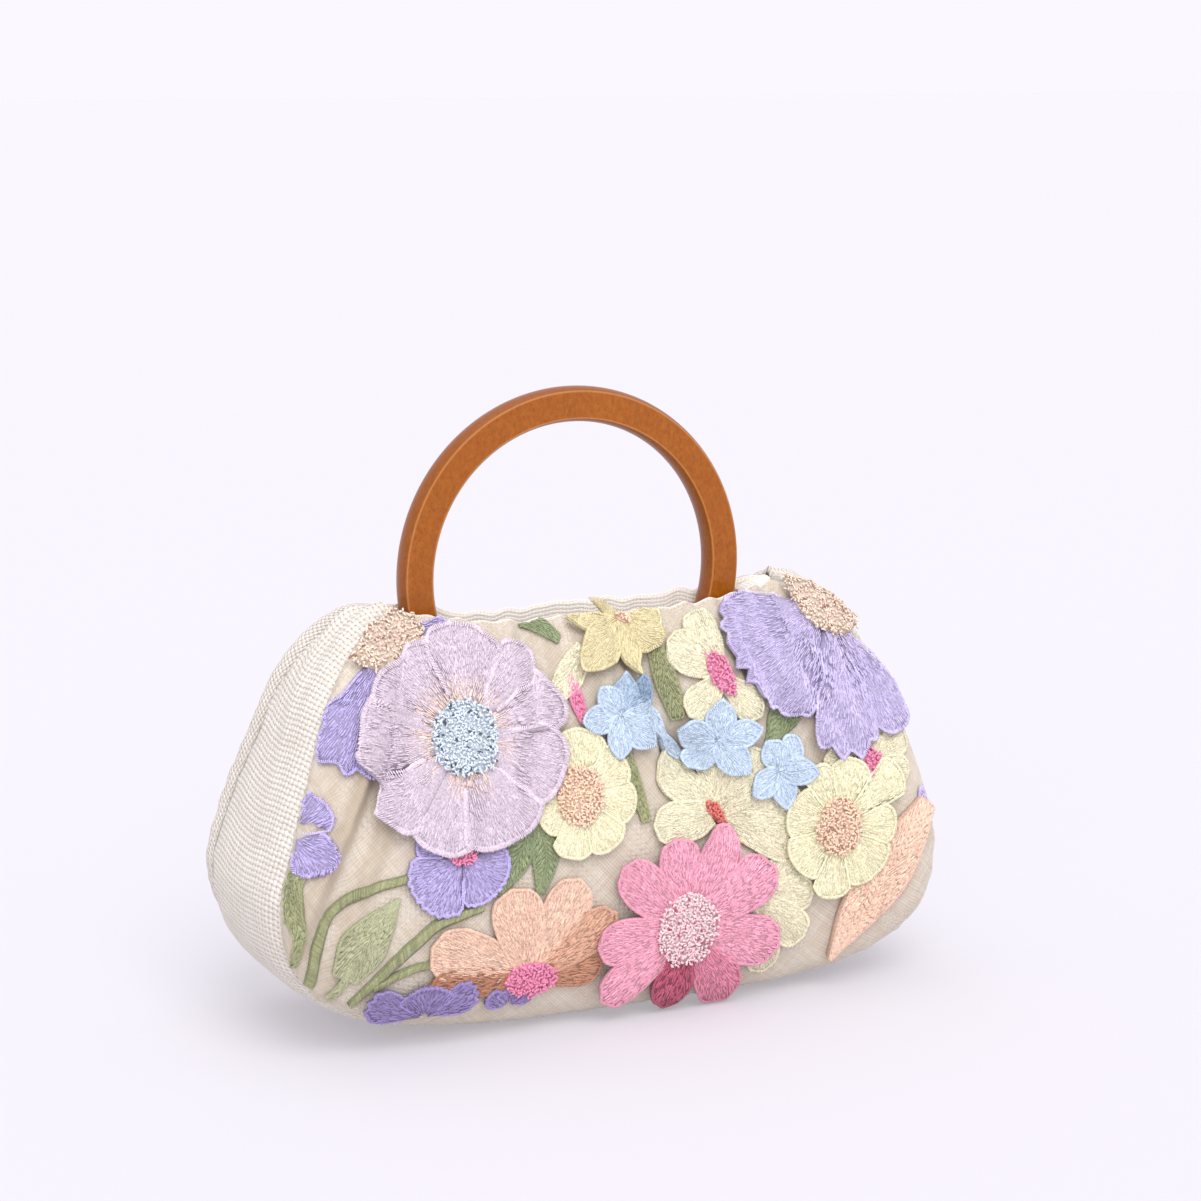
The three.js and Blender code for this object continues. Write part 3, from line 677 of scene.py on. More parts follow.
@dataclass(frozen=True)
class LacqueredWood:
    """The ring's finish: brown wood under a thin satin lacquer, with painted shade on its side bands and a
    painted highlight along its creases.
    """

    name: str
    light: Colour
    dark: Colour
    # The pore colour also paints the shade on the side bands.
    pore_and_side_shade: Colour
    # edge is the colour of the painted highlight along the creases.
    edge: Colour

    def make(self) -> bpy.types.Material:
        """Builds the material."""
        material, b, shader = new_material(self.name)
        place = b.node("ShaderNodeTexCoord").outputs["Object"]
        grain = b.node("ShaderNodeGroup", node_tree=GRAIN)
        b.feeds(grain, {"Place": place})
        tone = b.mix(b.remap(grain.outputs["Streak"], 0.3, 0.72), self.dark, self.light)
        tone = b.mix(b.remap(grain.outputs["Tone"], 0.35, 0.7, 0.0, 0.35), tone, self.dark)
        tone = b.mix(b.math("MULTIPLY_ADD", grain.outputs["Pore"], -0.45, 0.45), tone, self.pore_and_side_shade)
        # Painted shade: the side bands are darkened towards the pore colour.
        tone = b.mix(b.math("MULTIPLY", b.attribute("side"), 0.34), tone, self.pore_and_side_shade)
        # Painted highlight: the creases are lightened towards the edge colour.
        tone = b.mix(b.math("MULTIPLY", b.attribute("edge_highlight"), 0.28), tone, self.edge)
        streak = grain.outputs["Streak"]
        b.feeds(shader, {"Base Color": tone, "Roughness": b.remap(streak, 0.2, 0.8, 0.34, 0.46),
                         "Normal": b.bump(streak, 0.12, 0.15 * MM), "Specular IOR Level": 0.14,
                         "Coat Weight": 0.4, "Coat Roughness": 0.12})
        return material


class Finish(Enum):
    """The finishes on the bag."""

    LINEN = WovenCloth("natural_linen", dyed(237, 231, 222), dyed(221, 213, 201), dyed(162, 151, 132),
                       1.65, 0.05)
    FACING = WovenCloth("facing_linen", dyed(247, 242, 234), dyed(240, 234, 224), dyed(216, 208, 194),
                        1.2, 0.05, 0.4)
    LINING = WovenCloth("lining_cloth", dyed(232, 224, 208), dyed(214, 204, 186), dyed(150, 138, 118),
                        0.9, 0.15, 0.5)
    TULLE = SheerNet("cream_tulle", dyed(228, 212, 190))
    THREAD = EmbroideryThread("embroidery_thread")
    GROUND = EmbroideryThread("embroidery_ground", 0.75, 0.1, 0.35)
    WOOD = LacqueredWood("satin_lacquered_wood", dyed(166, 96, 20), dyed(146, 75, 10), dyed(100, 48, 6),
                         dyed(232, 172, 108))

    def material(self) -> bpy.types.Material:
        """The finish's material, built when it is first asked for."""
        return bpy.data.materials.get(self.value.name) or self.value.make()


# ----------------------------------------------------------------------
# The front face as a height field, for what is sewn on it


class FrontFace:
    """Where the tulle's outer face lies, seen from the front, on a regular grid."""

    LOW = (-118.0, -4.0)
    SPAN = (236, 142)
    IN_FRONT = -200.0
    BEYOND_EDGE = -20.0
    SLOPE_REACH = 1.2
    STEEPEST = 1.6

    def __init__(self, tulle: Array, step: float = 0.8) -> None:
        """Samples the face.

        Args:
            tulle: the grid of points of the tulle's outer face, in mm.
            step: the distance between samples, in mm.
        """
        self.step = step
        self.low = np.array(self.LOW)
        columns, rows = (int(span / step) + 1 for span in self.SPAN)
        tree = BVHTree.FromPolygons(tulle.reshape(-1, 3).tolist(), grid_faces(*tulle.shape[:2]))
        depth = np.full((rows, columns), np.nan)
        for j in range(rows):
            for i in range(columns):
                eye = Vector((self.low[0] + i * step, self.IN_FRONT, self.low[1] + j * step))
                hit = tree.ray_cast(eye, Vector((0, 1, 0)))[0]
                if hit is not None:
                    depth[j, i] = hit[1]
        self.known = ~np.isnan(depth)
        self.tight = self._filled(depth)
        self.loose = np.minimum(self._blurred(self.tight, 4), self.tight)
        self.loose = self._blurred(self.loose, 2)

    def _filled(self, depth: Array) -> Array:
        """Carries the face on past its edges."""
        depth = depth.copy()
        for _ in range(40):
            gap = np.isnan(depth)
            if not gap.any():
                break
            total, count = np.zeros_like(depth), np.zeros_like(depth)
            for shift in ((0, 1), (0, -1), (1, 0), (-1, 0)):
                near = np.roll(depth, shift, (0, 1))
                near_known = ~np.isnan(near)
                total[near_known] += near[near_known]
                count += near_known
            fill = gap & (count > 0)
            depth[fill] = total[fill] / count[fill]
        return np.nan_to_num(depth, nan=self.BEYOND_EDGE)

    @staticmethod
    def _blurred(depth: Array, passes: int) -> Array:
        """The field with its small hollows evened out."""
        for _ in range(passes):
            for axis in (0, 1):
                padded = np.concatenate([depth.take([0], axis), depth, depth.take([-1], axis)], axis)
                n = depth.shape[axis]
                depth = (padded.take(range(n), axis) + 2 * depth + padded.take(range(2, n + 2), axis)) / 4
        return depth

    def _sample(self, depth: Array, place: Array) -> Array:
        """The field at some places, between its samples."""
        at = (place - self.low) / self.step
        i = np.clip(at[..., 0].astype(int), 0, depth.shape[1] - 2)
        j = np.clip(at[..., 1].astype(int), 0, depth.shape[0] - 2)
        f, g = np.clip(at[..., 0] - i, 0, 1), np.clip(at[..., 1] - j, 0, 1)
        return ((depth[j, i] * (1 - f) + depth[j, i + 1] * f) * (1 - g)
                + (depth[j + 1, i] * (1 - f) + depth[j + 1, i + 1] * f) * g)

    def covers(self, place: Array) -> Array:
        """Whether the cloth is behind each place."""
        return self._sample(self.known.astype(float), place) > 0.5

    def lifted(self, place: Array, height: Array, loose: bool) -> Array:
        """Points at a height over the face.

        Args:
            place: places seen from the front, in mm.
            height: heights over the face, in mm.
            loose: whether what lies there bridges small hollows.

        Returns:
            The points, in mm.
        """
        depth = self.loose if loose else self.tight
        reach = self.SLOPE_REACH
        y = self._sample(depth, place)
        slope_x, slope_z = (
            np.clip((self._sample(depth, place + step) - self._sample(depth, place - step)) / (2 * reach),
                    -self.STEEPEST, self.STEEPEST)
            for step in (np.array([reach, 0]), np.array([0, reach])))
        normal = unit(np.stack([slope_x, -np.ones_like(y), slope_z], -1))
        return np.stack([place[..., 0], y, place[..., 1]], -1) + normal * np.asarray(height)[..., None]


# ----------------------------------------------------------------------
# Embroidery

# Half the thickness of each kind of thread, in mm.
FILL_THREAD, RIM_THREAD, KNOT_THREAD, SEAM_THREAD = 0.25, 0.27, 0.38, 0.2


def stitch_tree() -> bpy.types.NodeTree:
    """Geometry nodes that lay one thread stitch on each marked point of a mesh.

    Each marked point carries its stitch's direction, half sizes and dye. The rest of the mesh is
    passed on.
    """
    tree = bpy.data.node_groups.new("sewn_stitches", "GeometryNodeTree")
    tree.interface.new_socket("Geometry", in_out="INPUT", socket_type="NodeSocketGeometry")
    weight = tree.interface.new_socket("Thread Weight", in_out="INPUT", socket_type="NodeSocketFloat")
    weight.default_value = 1.0
    tree.interface.new_socket("Thread", in_out="INPUT", socket_type="NodeSocketMaterial")
    tree.interface.new_socket("Geometry", in_out="OUTPUT", socket_type="NodeSocketGeometry")
    b = Board(tree)
    start, end = b.node("NodeGroupInput"), b.node("NodeGroupOutput")

    def attribute(name: str, kind: str) -> bpy.types.NodeSocket:
        """A mesh attribute's value."""
        made = b.node("GeometryNodeInputNamedAttribute", data_type=kind)
        made.inputs["Name"].default_value = name
        return made.outputs["Attribute"]

    mesh, thread = start.outputs["Geometry"], start.outputs["Thread"]
    split = b.node("GeometryNodeSeparateGeometry",
                   {"Geometry": mesh, "Selection": attribute("sewn", "BOOLEAN")}, domain="POINT")
    stitch = b.node("GeometryNodeMeshUVSphere", {"Segments": 4, "Rings": 3, "Radius": 1.0})
    soft = b.node("GeometryNodeSetShadeSmooth", {0: stitch.outputs["Mesh"]})
    turn = b.node("FunctionNodeAlignRotationToVector", {"Vector": attribute("run", "FLOAT_VECTOR")},
                  axis="Z")
    size = b.vector("SCALE", attribute("girth", "FLOAT_VECTOR"), start.outputs["Thread Weight"])
    laid = b.node("GeometryNodeInstanceOnPoints", {
        "Points": split.outputs["Selection"], "Instance": soft.outputs[0],
        "Rotation": turn.outputs["Rotation"], "Scale": size})
    real = b.node("GeometryNodeRealizeInstances", {0: laid.outputs[0]})
    dressed = b.node("GeometryNodeSetMaterial", {"Geometry": real.outputs[0], "Material": thread})
    joined = b.node("GeometryNodeJoinGeometry", {0: dressed.outputs[0]})
    b.feeds(joined, {0: split.outputs["Inverted"]})
    b.feeds(end, {0: joined.outputs[0]})
    return tree


STITCHES = stitch_tree()


def girths(thin: float, half: Array) -> Array:
    """Half sizes of some stitches, from half their thickness and half their lengths."""
    return np.stack([np.full(len(half), thin), np.full(len(half), thin), half], -1)


def sew(thing: bpy.types.Object, sewn: Array, runs: Array, sizes: Array, dyes: Array) -> None:
    """Turns an object's marked points into stitches, as a plain mesh.

    Args:
        thing: the object.
        sewn: whether each of its points is a stitch.
        runs: each point's direction.
        sizes: each point's half sizes, in mm.
        dyes: each point's colour.
    """
    opaque = np.concatenate([dyes, np.ones((len(dyes), 1))], 1)
    for key, kind, name, values in (
        ("sewn", "BOOLEAN", "value", sewn),
        ("run", "FLOAT_VECTOR", "vector", runs.astype(np.float32)),
        ("girth", "FLOAT_VECTOR", "vector", (sizes * MM).astype(np.float32)),
        ("dye", "FLOAT_COLOR", "color", opaque.astype(np.float32)),
    ):
        thing.data.attributes.new(key, kind, "POINT").data.foreach_set(name, values.ravel())
    modifier = thing.modifiers.new("stitches", "NODES")
    modifier.node_group = STITCHES
    for item in STITCHES.interface.items_tree:
        if item.in_out == "INPUT" and item.name == "Thread":
            modifier[item.identifier] = Finish.THREAD.material()
    ready = thing.evaluated_get(bpy.context.evaluated_depsgraph_get())
    mesh = bpy.data.meshes.new_from_object(ready)
    thing.modifiers.clear()
    thing.data = mesh
    for key in ("sewn", "run", "girth"):
        if key in mesh.attributes:
            mesh.attributes.remove(mesh.attributes[key])


def inside(place: Array, outline: Array) -> Array:
    """Whether each place lies inside a closed outline."""
    x, z = place[:, 0][:, None], place[:, 1][:, None]
    x0, z0 = outline[:, 0][None], outline[:, 1][None]
    x1, z1 = np.roll(outline[:, 0], -1)[None], np.roll(outline[:, 1], -1)[None]
    rise = np.where(np.abs(z1 - z0) < TINY, TINY, z1 - z0)
    crosses = ((z0 > z) != (z1 > z)) & (x < (x1 - x0) * (z - z0) / rise + x0)
    return crosses.sum(1) % 2 == 1


def edge_distance(place: Array, outline: Array) -> Array:
    """How far each place lies from a closed outline."""
    start = outline[None]
    along = np.roll(outline, -1, axis=0)[None] - start
    offset = place[:, None] - start
    share = np.clip((offset * along).sum(-1) / np.maximum((along * along).sum(-1), TINY), 0, 1)
    return np.linalg.norm(offset - share[..., None] * along, axis=-1).min(1)


def resampled(line: Array, pitch: float, closed: bool) -> tuple[Array, Array]:
    """Even steps along a line.

    Args:
        line: the line's points.
        pitch: the distance between steps.
        closed: whether the line ends where it starts.

    Returns:
        The points and the directions along the line there.
    """
    if closed:
        line = np.concatenate([line, line[:1]])
    lengths = arc_lengths(line)
    count = max(2, int(lengths[-1] / pitch))
    at = (np.arange(count) + 0.5) / count * lengths[-1]
    place, ahead, behind = (along_line(line, lengths, at + shift) for shift in (0, pitch / 2, -pitch / 2))
    return place, unit(ahead - behind)


@dataclass(frozen=True)
class Dye:
    """The colours of one motif: its threads, what shows between them, which is darker as painted shade, and
    its rim.
    """

    SHADE_DEEPENING = 3.0

    thread: Colour
    # The ground is darker than the thread: painted shade between the threads.
    ground: Colour
    rim: Colour
    root: Optional[Colour] = None
    root_reach: float = 0.0

    def in_painted_shade(self, share: float) -> Dye:
        """The same dye deeper and darker, as painted shade, for a share below 1."""
        power = 1 + self.SHADE_DEEPENING * (1 - share)
        deep = [tuple(share * c ** power for c in part) for part in (self.thread, self.ground, self.rim)]
        return Dye(*deep, self.root, self.root_reach)


@dataclass
class Needlework:
    """One embroidered piece while it is being made: cloth plates and the points of its stitches."""

    EDGE_HEIGHT = 0.7
    ROUNDING = 2.2
    PLATE_DEPTH = 0.75
    LOWEST = 0.05
    TILT_SHARE = 0.6
    CLEAR_OF_EDGE = 0.35
    RING_STEP = 0.72
    SCATTER = 0.45

    name: str
    face: FrontFace
    seed: int = 1
    loose: bool = True
    base: float = 0.3
    points: list[Array] = field(default_factory=list)
    colours: list[Array] = field(default_factory=list)
    faces: list[tuple[int, ...]] = field(default_factory=list)
    stitch_points: list[Array] = field(default_factory=list)
    stitch_runs: list[Array] = field(default_factory=list)
    stitch_girths: list[Array] = field(default_factory=list)
    stitch_dyes: list[Array] = field(default_factory=list)

    def __post_init__(self) -> None:
        """Starts the piece's own fixed random draws."""
        self.draw = np.random.default_rng(self.seed)
        self.count = 0

    def top_over(self, outline: Array, puff: float, lift: Callable[[Array], Array],
                 step: float) -> Callable[[Array], Array]:
        """A motif's height over the face, at a place: low at its outline and full inside."""

        def height(place: Array) -> Array:
            """The height at each place."""
            rounded = 1 - np.exp(-edge_distance(place, outline) / self.ROUNDING)
            return self.base + self.EDGE_HEIGHT + puff * rounded + lift(place) + step

        return height

    def clipped(self, outline: Array, hub: Array) -> tuple[Array, Array]:
        """Draws an outline in, to where there is cloth behind it.

        Args:
            outline: the outline's points.
            hub: a place inside it.

        Returns:
            The outline drawn in, and the hub, moved onto the cloth if it wasn't there.
        """
        covered = self.face.covers(outline)
        if not self.face.covers(hub[None])[0] and covered.any():
            hub = 0.85 * outline[covered].mean(0) + 0.15 * hub
        shares = np.linspace(1, 0.02, 50)[:, None, None]
        places = hub + shares * (outline - hub)
        on_cloth = self.face.covers(places)
        return places[np.argmax(on_cloth, axis=0), np.arange(len(outline))], hub

    def add_layers(self, upper: Array, lower: Array, colour: Colour) -> None:
        """Adds the points of a plate's two sides."""
        self.points += [upper, lower]
        self.colours.append(np.tile(np.array(colour), (2 * len(upper), 1)))
        self.count += 2 * len(upper)

    def plate(self, outline: Array, hub: Array, top: Callable[[Array], Array], colour: Colour,
              rings: int = 7) -> None:
        """Adds a thin closed plate of cloth inside an outline that its hub sees all round."""
        shares = np.linspace(1, 0, rings + 1)[:-1]
        rows = [hub + share * (outline - hub) for share in shares]
        count = len(outline)
        flat = np.concatenate(rows + [hub[None]])
        height = top(flat)
        under = np.maximum(height - self.PLATE_DEPTH, self.LOWEST)
        upper = self.face.lifted(flat, height, self.loose)
        lower = self.face.lifted(flat, under, self.loose)
        first, total = self.count, len(flat)
        for layer, flip in ((0, False), (1, True)):
            start = first + layer * total
            self.faces += grid_faces(rings, count, start, flip, around=True)
            last, middle = start + (rings - 1) * count, start + total - 1
            for i in range(count):
                triangle = (last + i, middle, last + (i + 1) % count)
                self.faces.append(triangle[::-1] if flip else triangle)
        for i in range(count):
            k = (i + 1) % count
            self.faces.append((first + i, first + k, first + total + k, first + total + i))
        self.add_layers(upper, lower, colour)

    def lay(self, place: Array, run: Array, height: Array, girth: Array, dye: Array) -> None:
        """Marks stitches: places and directions seen from the front, heights, half sizes and dyes."""
        keep = self.face.covers(place)
        place, run, height, girth, dye = place[keep], run[keep], height[keep], girth[keep], dye[keep]
        if not len(place):
            return
        reach = girth[:, 2:3] * self.TILT_SHARE
        here = self.face.lifted(place, height, self.loose)
        ahead = self.face.lifted(place + run * reach, height, self.loose)
        behind = self.face.lifted(place - run * reach, height, self.loose)
        self.stitch_points.append(here)
        self.stitch_runs.append(unit(ahead - behind))
        self.stitch_girths.append(girth)
        self.stitch_dyes.append(dye)

    def jittered(self, colour: Colour, count: int, spread: float = 0.08) -> Array:
        """A dye for each of some stitches, a little lighter or darker each time."""
        shade = 1 + spread * self.draw.standard_normal((count, 1))
        return np.clip(np.array(colour)[None] * shade, 0, 1)

    def fill(self, outline: Array, focus: Array, dye: Dye, top: Callable[[Array], Array],
             pitch: float = 0.46, length: float = 3.4, nearest: float = 0.8) -> None:
        """Fills an outline with stitches that run away from a focus."""
        away = np.linalg.norm(outline - focus, axis=1)
        radius = nearest if inside(focus[None], outline)[0] else max(nearest, away.min())
        places, runs = [], []
        while radius < away.max() + length:
            count = max(6, int(2 * math.pi * radius / pitch))
            angle = (np.arange(count) + self.draw.uniform(0, 1)) * 2 * math.pi / count
            angle += self.draw.uniform(-0.16, 0.16, count) * 2 * math.pi / count
            arm = arms(angle)
            jitter = self.draw.uniform(-self.SCATTER, self.SCATTER, count)[:, None] * length
            places.append(focus + arm * (radius + jitter))
            runs.append(arm)
            radius += length * self.RING_STEP
        place, run = np.concatenate(places), np.concatenate(runs)
        keep = inside(place, outline)
        place, run = place[keep], run[keep]
        if not len(place):
            return
        distance = edge_distance(place, outline)
        keep = distance > self.CLEAR_OF_EDGE
        place, run, distance = place[keep], run[keep], distance[keep]
        count = len(place)
        colour = self.jittered(dye.thread, count)
        if dye.root is not None:
            away = np.linalg.norm(place - focus, axis=1)
            share = np.clip(1 - (away - dye.root_reach * 0.75) / (dye.root_reach * 0.5), 0, 1)[:, None]
            colour = colour * (1 - share) + self.jittered(dye.root, count) * share
        half = length / 2 * self.draw.uniform(0.75, 1.15, count)
        half = np.minimum(half, 0.5 + distance)
        height = top(place) + self.draw.uniform(-0.05, 0.12, count)
        self.lay(place, run, height, girths(FILL_THREAD, half), colour)

    def rim(self, line: Array, colour: Colour, top: Callable[[Array], Array], closed: bool = True,
            width: float = 1.5, pitch: float = 0.42, rise: float = 0.25) -> None:
        """Lays close stitches across a line, as a raised satin edge."""
        place, along = resampled(line, pitch, closed)
        across = np.stack([-along[:, 1], along[:, 0]], -1)
        count = len(place)
        slant = unit(across + along * self.draw.uniform(0.1, 0.35, (count, 1)))
        half = width / 2 * self.draw.uniform(0.85, 1.15, count)
        self.lay(place, slant, top(place) + rise, girths(RIM_THREAD, half),
                 self.jittered(colour, count, 0.06))

    def knots(self, centre: tuple[float, float], radii: tuple[float, float], colour: Colour, height: float,
              turn: float = 0.0, pitch: float = 0.95, dark: Optional[Colour] = None) -> None:
        """Heaps small looped stitches over an oval."""
        grid = np.arange(-max(radii), max(radii) + pitch, pitch)
        x, z = np.meshgrid(grid, grid)
        place = np.stack([x.ravel(), z.ravel()], -1) + self.draw.uniform(-0.35, 0.35, (x.size, 2)) * pitch
        keep = ((place / np.array(radii)) ** 2).sum(1) < 1 + self.draw.uniform(-0.18, 0.12, x.size)
        place = turned(place[keep], turn) + np.array(centre)
        for layer in range(2):
            count = len(place)
            run = arms(self.draw.uniform(0, 2 * math.pi, count))
            girth = girths(KNOT_THREAD, self.draw.uniform(0.5, 0.85, count))
            tone = self.jittered(colour, count, 0.09)
            # A few knots take the dark colour; in the lilac's heart it is painted shade for small holes.
            if dark is not None:
                spots = self.draw.uniform(0, 1, count) < 0.06
                tone[spots] = np.array(dark)
            at = place + self.draw.uniform(-0.3, 0.3, place.shape)
            self.lay(at, run, height + 0.35 * layer + self.draw.uniform(0, 0.3, count), girth, tone)

    def finish(self, nodes: Sequence[str], slot: str) -> None:
        """Makes the piece's object, in place of some CAD nodes."""
        plates, stitches = np.concatenate(self.points), np.concatenate(self.stitch_points)
        thing = make_object(self.name, np.concatenate([plates, stitches]), self.faces)
        thing.data.materials.append(Finish.GROUND.material())
        bare = np.zeros((len(plates), 3))
        sewn = np.arange(len(plates) + len(stitches)) >= len(plates)
        sew(thing, sewn, np.concatenate([bare, *self.stitch_runs]),
            np.concatenate([bare, *self.stitch_girths]),
            np.concatenate([*self.colours, *self.stitch_dyes]))
        hand_over(thing, None, slot, *nodes)


# ----------------------------------------------------------------------
# Petals, leaves and stems


ROOT_POINTS = 7
HUB_SHARE = 0.55


class Tip(Enum):
    """How a petal or leaf ends."""

    ROUND = "round"
    POINTED = "pointed"
    JAGGED = "jagged"


@dataclass(frozen=True)
class Fan:
    """A wide petal between two angles, in degrees from the right, with its reach in mm."""

    TOOTH_ANGLE = 9
    TOOTH_DEPTH = 0.075

    start: float
    end: float
    reach: float
    tip: Tip = Tip.ROUND
    notch: float = 0.1

    def outline(self, centre: Array, root: float) -> Array:
        """The petal's closed outline."""
        share = np.linspace(0, 1, 25 if self.end - self.start < 100 else 61)
        reach = self.reach * (1 - self.notch * np.abs(2 * share - 1) ** 3)
        if self.tip is Tip.JAGGED:
            teeth = max(2, round((self.end - self.start) / self.TOOTH_ANGLE))
            reach = reach * (1 - self.TOOTH_DEPTH * np.abs(2 * ((share * teeth) % 1) - 1))
        angle = np.radians(self.start + (self.end - self.start) * share)
        inner = np.radians(np.linspace(self.end, self.start, ROOT_POINTS))
        return np.concatenate([centre + reach[:, None] * arms(angle), centre + root * arms(inner)])

    def hub(self, centre: Array) -> Array:
        """A place inside the petal that sees its whole outline."""
        angle = math.radians((self.start + self.end) / 2)
        return centre + HUB_SHARE * self.reach * np.array([math.cos(angle), math.sin(angle)])


@dataclass(frozen=True)
class Blade:
    """A slim petal along one angle, in degrees from the right, with its reach and width in mm."""

    angle: float
    reach: float
    width: float
    tip: Tip = Tip.ROUND
    # A shade below 1 darkens the petal's dye as painted shade.
    shade: float = 1.0

    def outline(self, centre: Array, root: float) -> Array:
        """The petal's closed outline."""
        share = np.linspace(0, 1, 15)
        waist, power = (0.52, 0.9) if self.tip is Tip.POINTED else (0.7, 0.42)
        rising = 0.42 + 0.58 * np.sin(math.pi / 2 * np.minimum(1, share / waist))
        falling = np.clip((share - waist) / (1 - waist), 0, 1)
        half = self.width / 2 * rising * np.maximum(0, 1 - falling**2) ** power
        length = root + (self.reach - root) * share
        turn = math.radians(self.angle)
        along = np.array([math.cos(turn), math.sin(turn)])
        aside = np.array([-math.sin(turn), math.cos(turn)])
        one = centre + length[:, None] * along + half[:, None] * aside
        other = centre + length[:, None] * along - half[:, None] * aside
        return np.concatenate([one, other[::-1][1:]])

    def hub(self, centre: Array) -> Array:
        """A place inside the petal that sees its whole outline."""
        turn = math.radians(self.angle)
        return centre + HUB_SHARE * self.reach * np.array([math.cos(turn), math.sin(turn)])


@dataclass(frozen=True)
class Heart:
    """A flower's raised centre: an oval of knotted thread."""

    colour: Colour
    radii: tuple[float, float]
    turn: float = 0.0
    shift: tuple[float, float] = (0.0, 0.0)
    # dark colours a few scattered knots; in the lilac's heart they are painted shade for small holes.
    dark: Optional[Colour] = None
    node: str = ""
    slot: str = ""


@dataclass(frozen=True)
class Flower:
    """An embroidered flower: its petals, seen from the front, and how it lies."""

    LEVELS = 3
    SIDE_GLOW = 1.12
    RIM_INSET = 0.45
    HEART_RISE = 0.45
    HEART_SHADE = 0.72

    name: str
    centre: tuple[float, float]
    petals: tuple[Fan | Blade, ...]
    dye: Dye
    slot: str
    heart: Optional[Heart] = None
    base: float = 0.3
    lift: float = 0.6
    puff: float = 0.6
    root: float = 1.5
    rim_width: float = 1.4
    cut_out: bool = True
    step: float = 0.15

    def make(self, face: FrontFace, seed: int) -> None:
        """Builds the flower and its centre.

        Args:
            face: the front face that it lies on.
            seed: the seed of its random draws.
        """
        centre = np.array(self.centre)
        work = Needlework(f"embroidered_{self.name}", face, seed, loose=self.cut_out, base=self.base)
        span = max(p.reach for p in self.petals)

        def rising(place: Array) -> Array:
            """How far each place is lifted: more towards the petals' tips."""
            return self.lift * np.clip(np.linalg.norm(place - centre, axis=-1) / span, 0, 1) ** 2

        for number, petal in enumerate(self.petals):
            outline, hub = work.clipped(petal.outline(centre, self.root), petal.hub(centre))
            top = work.top_over(outline, self.puff, rising, self.step * (number % self.LEVELS))
            # Petals with a shade below 1 are painted darker, as painted shade.
            dye = self.dye.in_painted_shade(getattr(petal, "shade", 1.0))
            work.plate(outline, hub, top, dye.ground)
            work.fill(outline, centre, dye, top)
            fan = isinstance(petal, Fan)
            edge = outline[:-ROOT_POINTS] if fan else outline
            work.rim(self._drawn_in(edge, hub), dye.rim, top, closed=False, width=self.rim_width)
            for end in (edge[0], edge[-1]) if fan else ():
                side = np.stack([centre + (end - centre) * s for s in np.linspace(0.45, 1, 6)])
                bright = tuple(min(1.0, self.SIDE_GLOW * c) for c in dye.rim)
                work.rim(side, bright, top, closed=False, width=self.rim_width * 0.7)
        work.finish((self.name,), self.slot)
        if self.heart is not None:
            self._heart(face, seed + 500)

    @staticmethod
    def _drawn_in(edge: Array, hub: Array) -> Array:
        """An edge moved a little towards its hub, so that its stitches sit on the cloth."""
        inward = hub - edge
        return edge + Flower.RIM_INSET * inward / np.linalg.norm(inward, axis=1, keepdims=True)

    def _heart(self, face: FrontFace, seed: int) -> None:
        """Builds the flower's raised centre."""
        heart = self.heart
        centre = np.array(self.centre) + np.array(heart.shift)
        work = Needlework(f"knotted_{heart.node or self.name}", face, seed, loose=self.cut_out,
                          base=self.base)
        angle = np.linspace(0, 2 * math.pi, 29)[:-1]
        oval = np.stack([heart.radii[0] * np.cos(angle), heart.radii[1] * np.sin(angle)], -1) * 0.94
        outline, hub = work.clipped(turned(oval, heart.turn) + centre, centre - np.array([0, 1.0]))
        level = self.base + Needlework.EDGE_HEIGHT + self.puff + self.HEART_RISE

        def top(place: Array) -> Array:
            """The height of the ground under the knots."""
            return level + 0.5 * (1 - np.exp(-edge_distance(place, outline) / 2.0))

        work.plate(outline, hub, top, tuple(self.HEART_SHADE * v for v in heart.colour), rings=5)
        work.knots(tuple(centre), heart.radii, heart.colour, level + self.HEART_RISE, heart.turn,
                   dark=heart.dark)
        work.finish((heart.node,) if heart.node else (), heart.slot or self.slot)


@dataclass(frozen=True)
class Course:
    """A ribbon's middle line, its sideways directions and its half widths."""

    line: Array
    aside: Array
    half: Array

    @classmethod
    def through(cls, path: Array, widths: Array) -> Course:
        """A smooth course through a path's points, with a width at each."""
        at = np.linspace(0, len(path) - 1, max(10, 5 * len(path)))
        line = np.stack([smooth_through(column, at) for column in path.T], -1)
        half = np.maximum(0.15, smooth_through(widths, at)) / 2
        along = unit(np.gradient(line, axis=0))
        return cls(line, np.stack([-along[:, 1], along[:, 0]], -1), half)

    def at(self, spots: Array) -> tuple[Array, Array, Array]:
        """The middle, the sideways direction and the half width at some lengths from the start."""
        lengths = arc_lengths(self.line)
        return (along_line(self.line, lengths, spots), along_line(self.aside, lengths, spots),
                np.interp(spots, lengths, self.half))


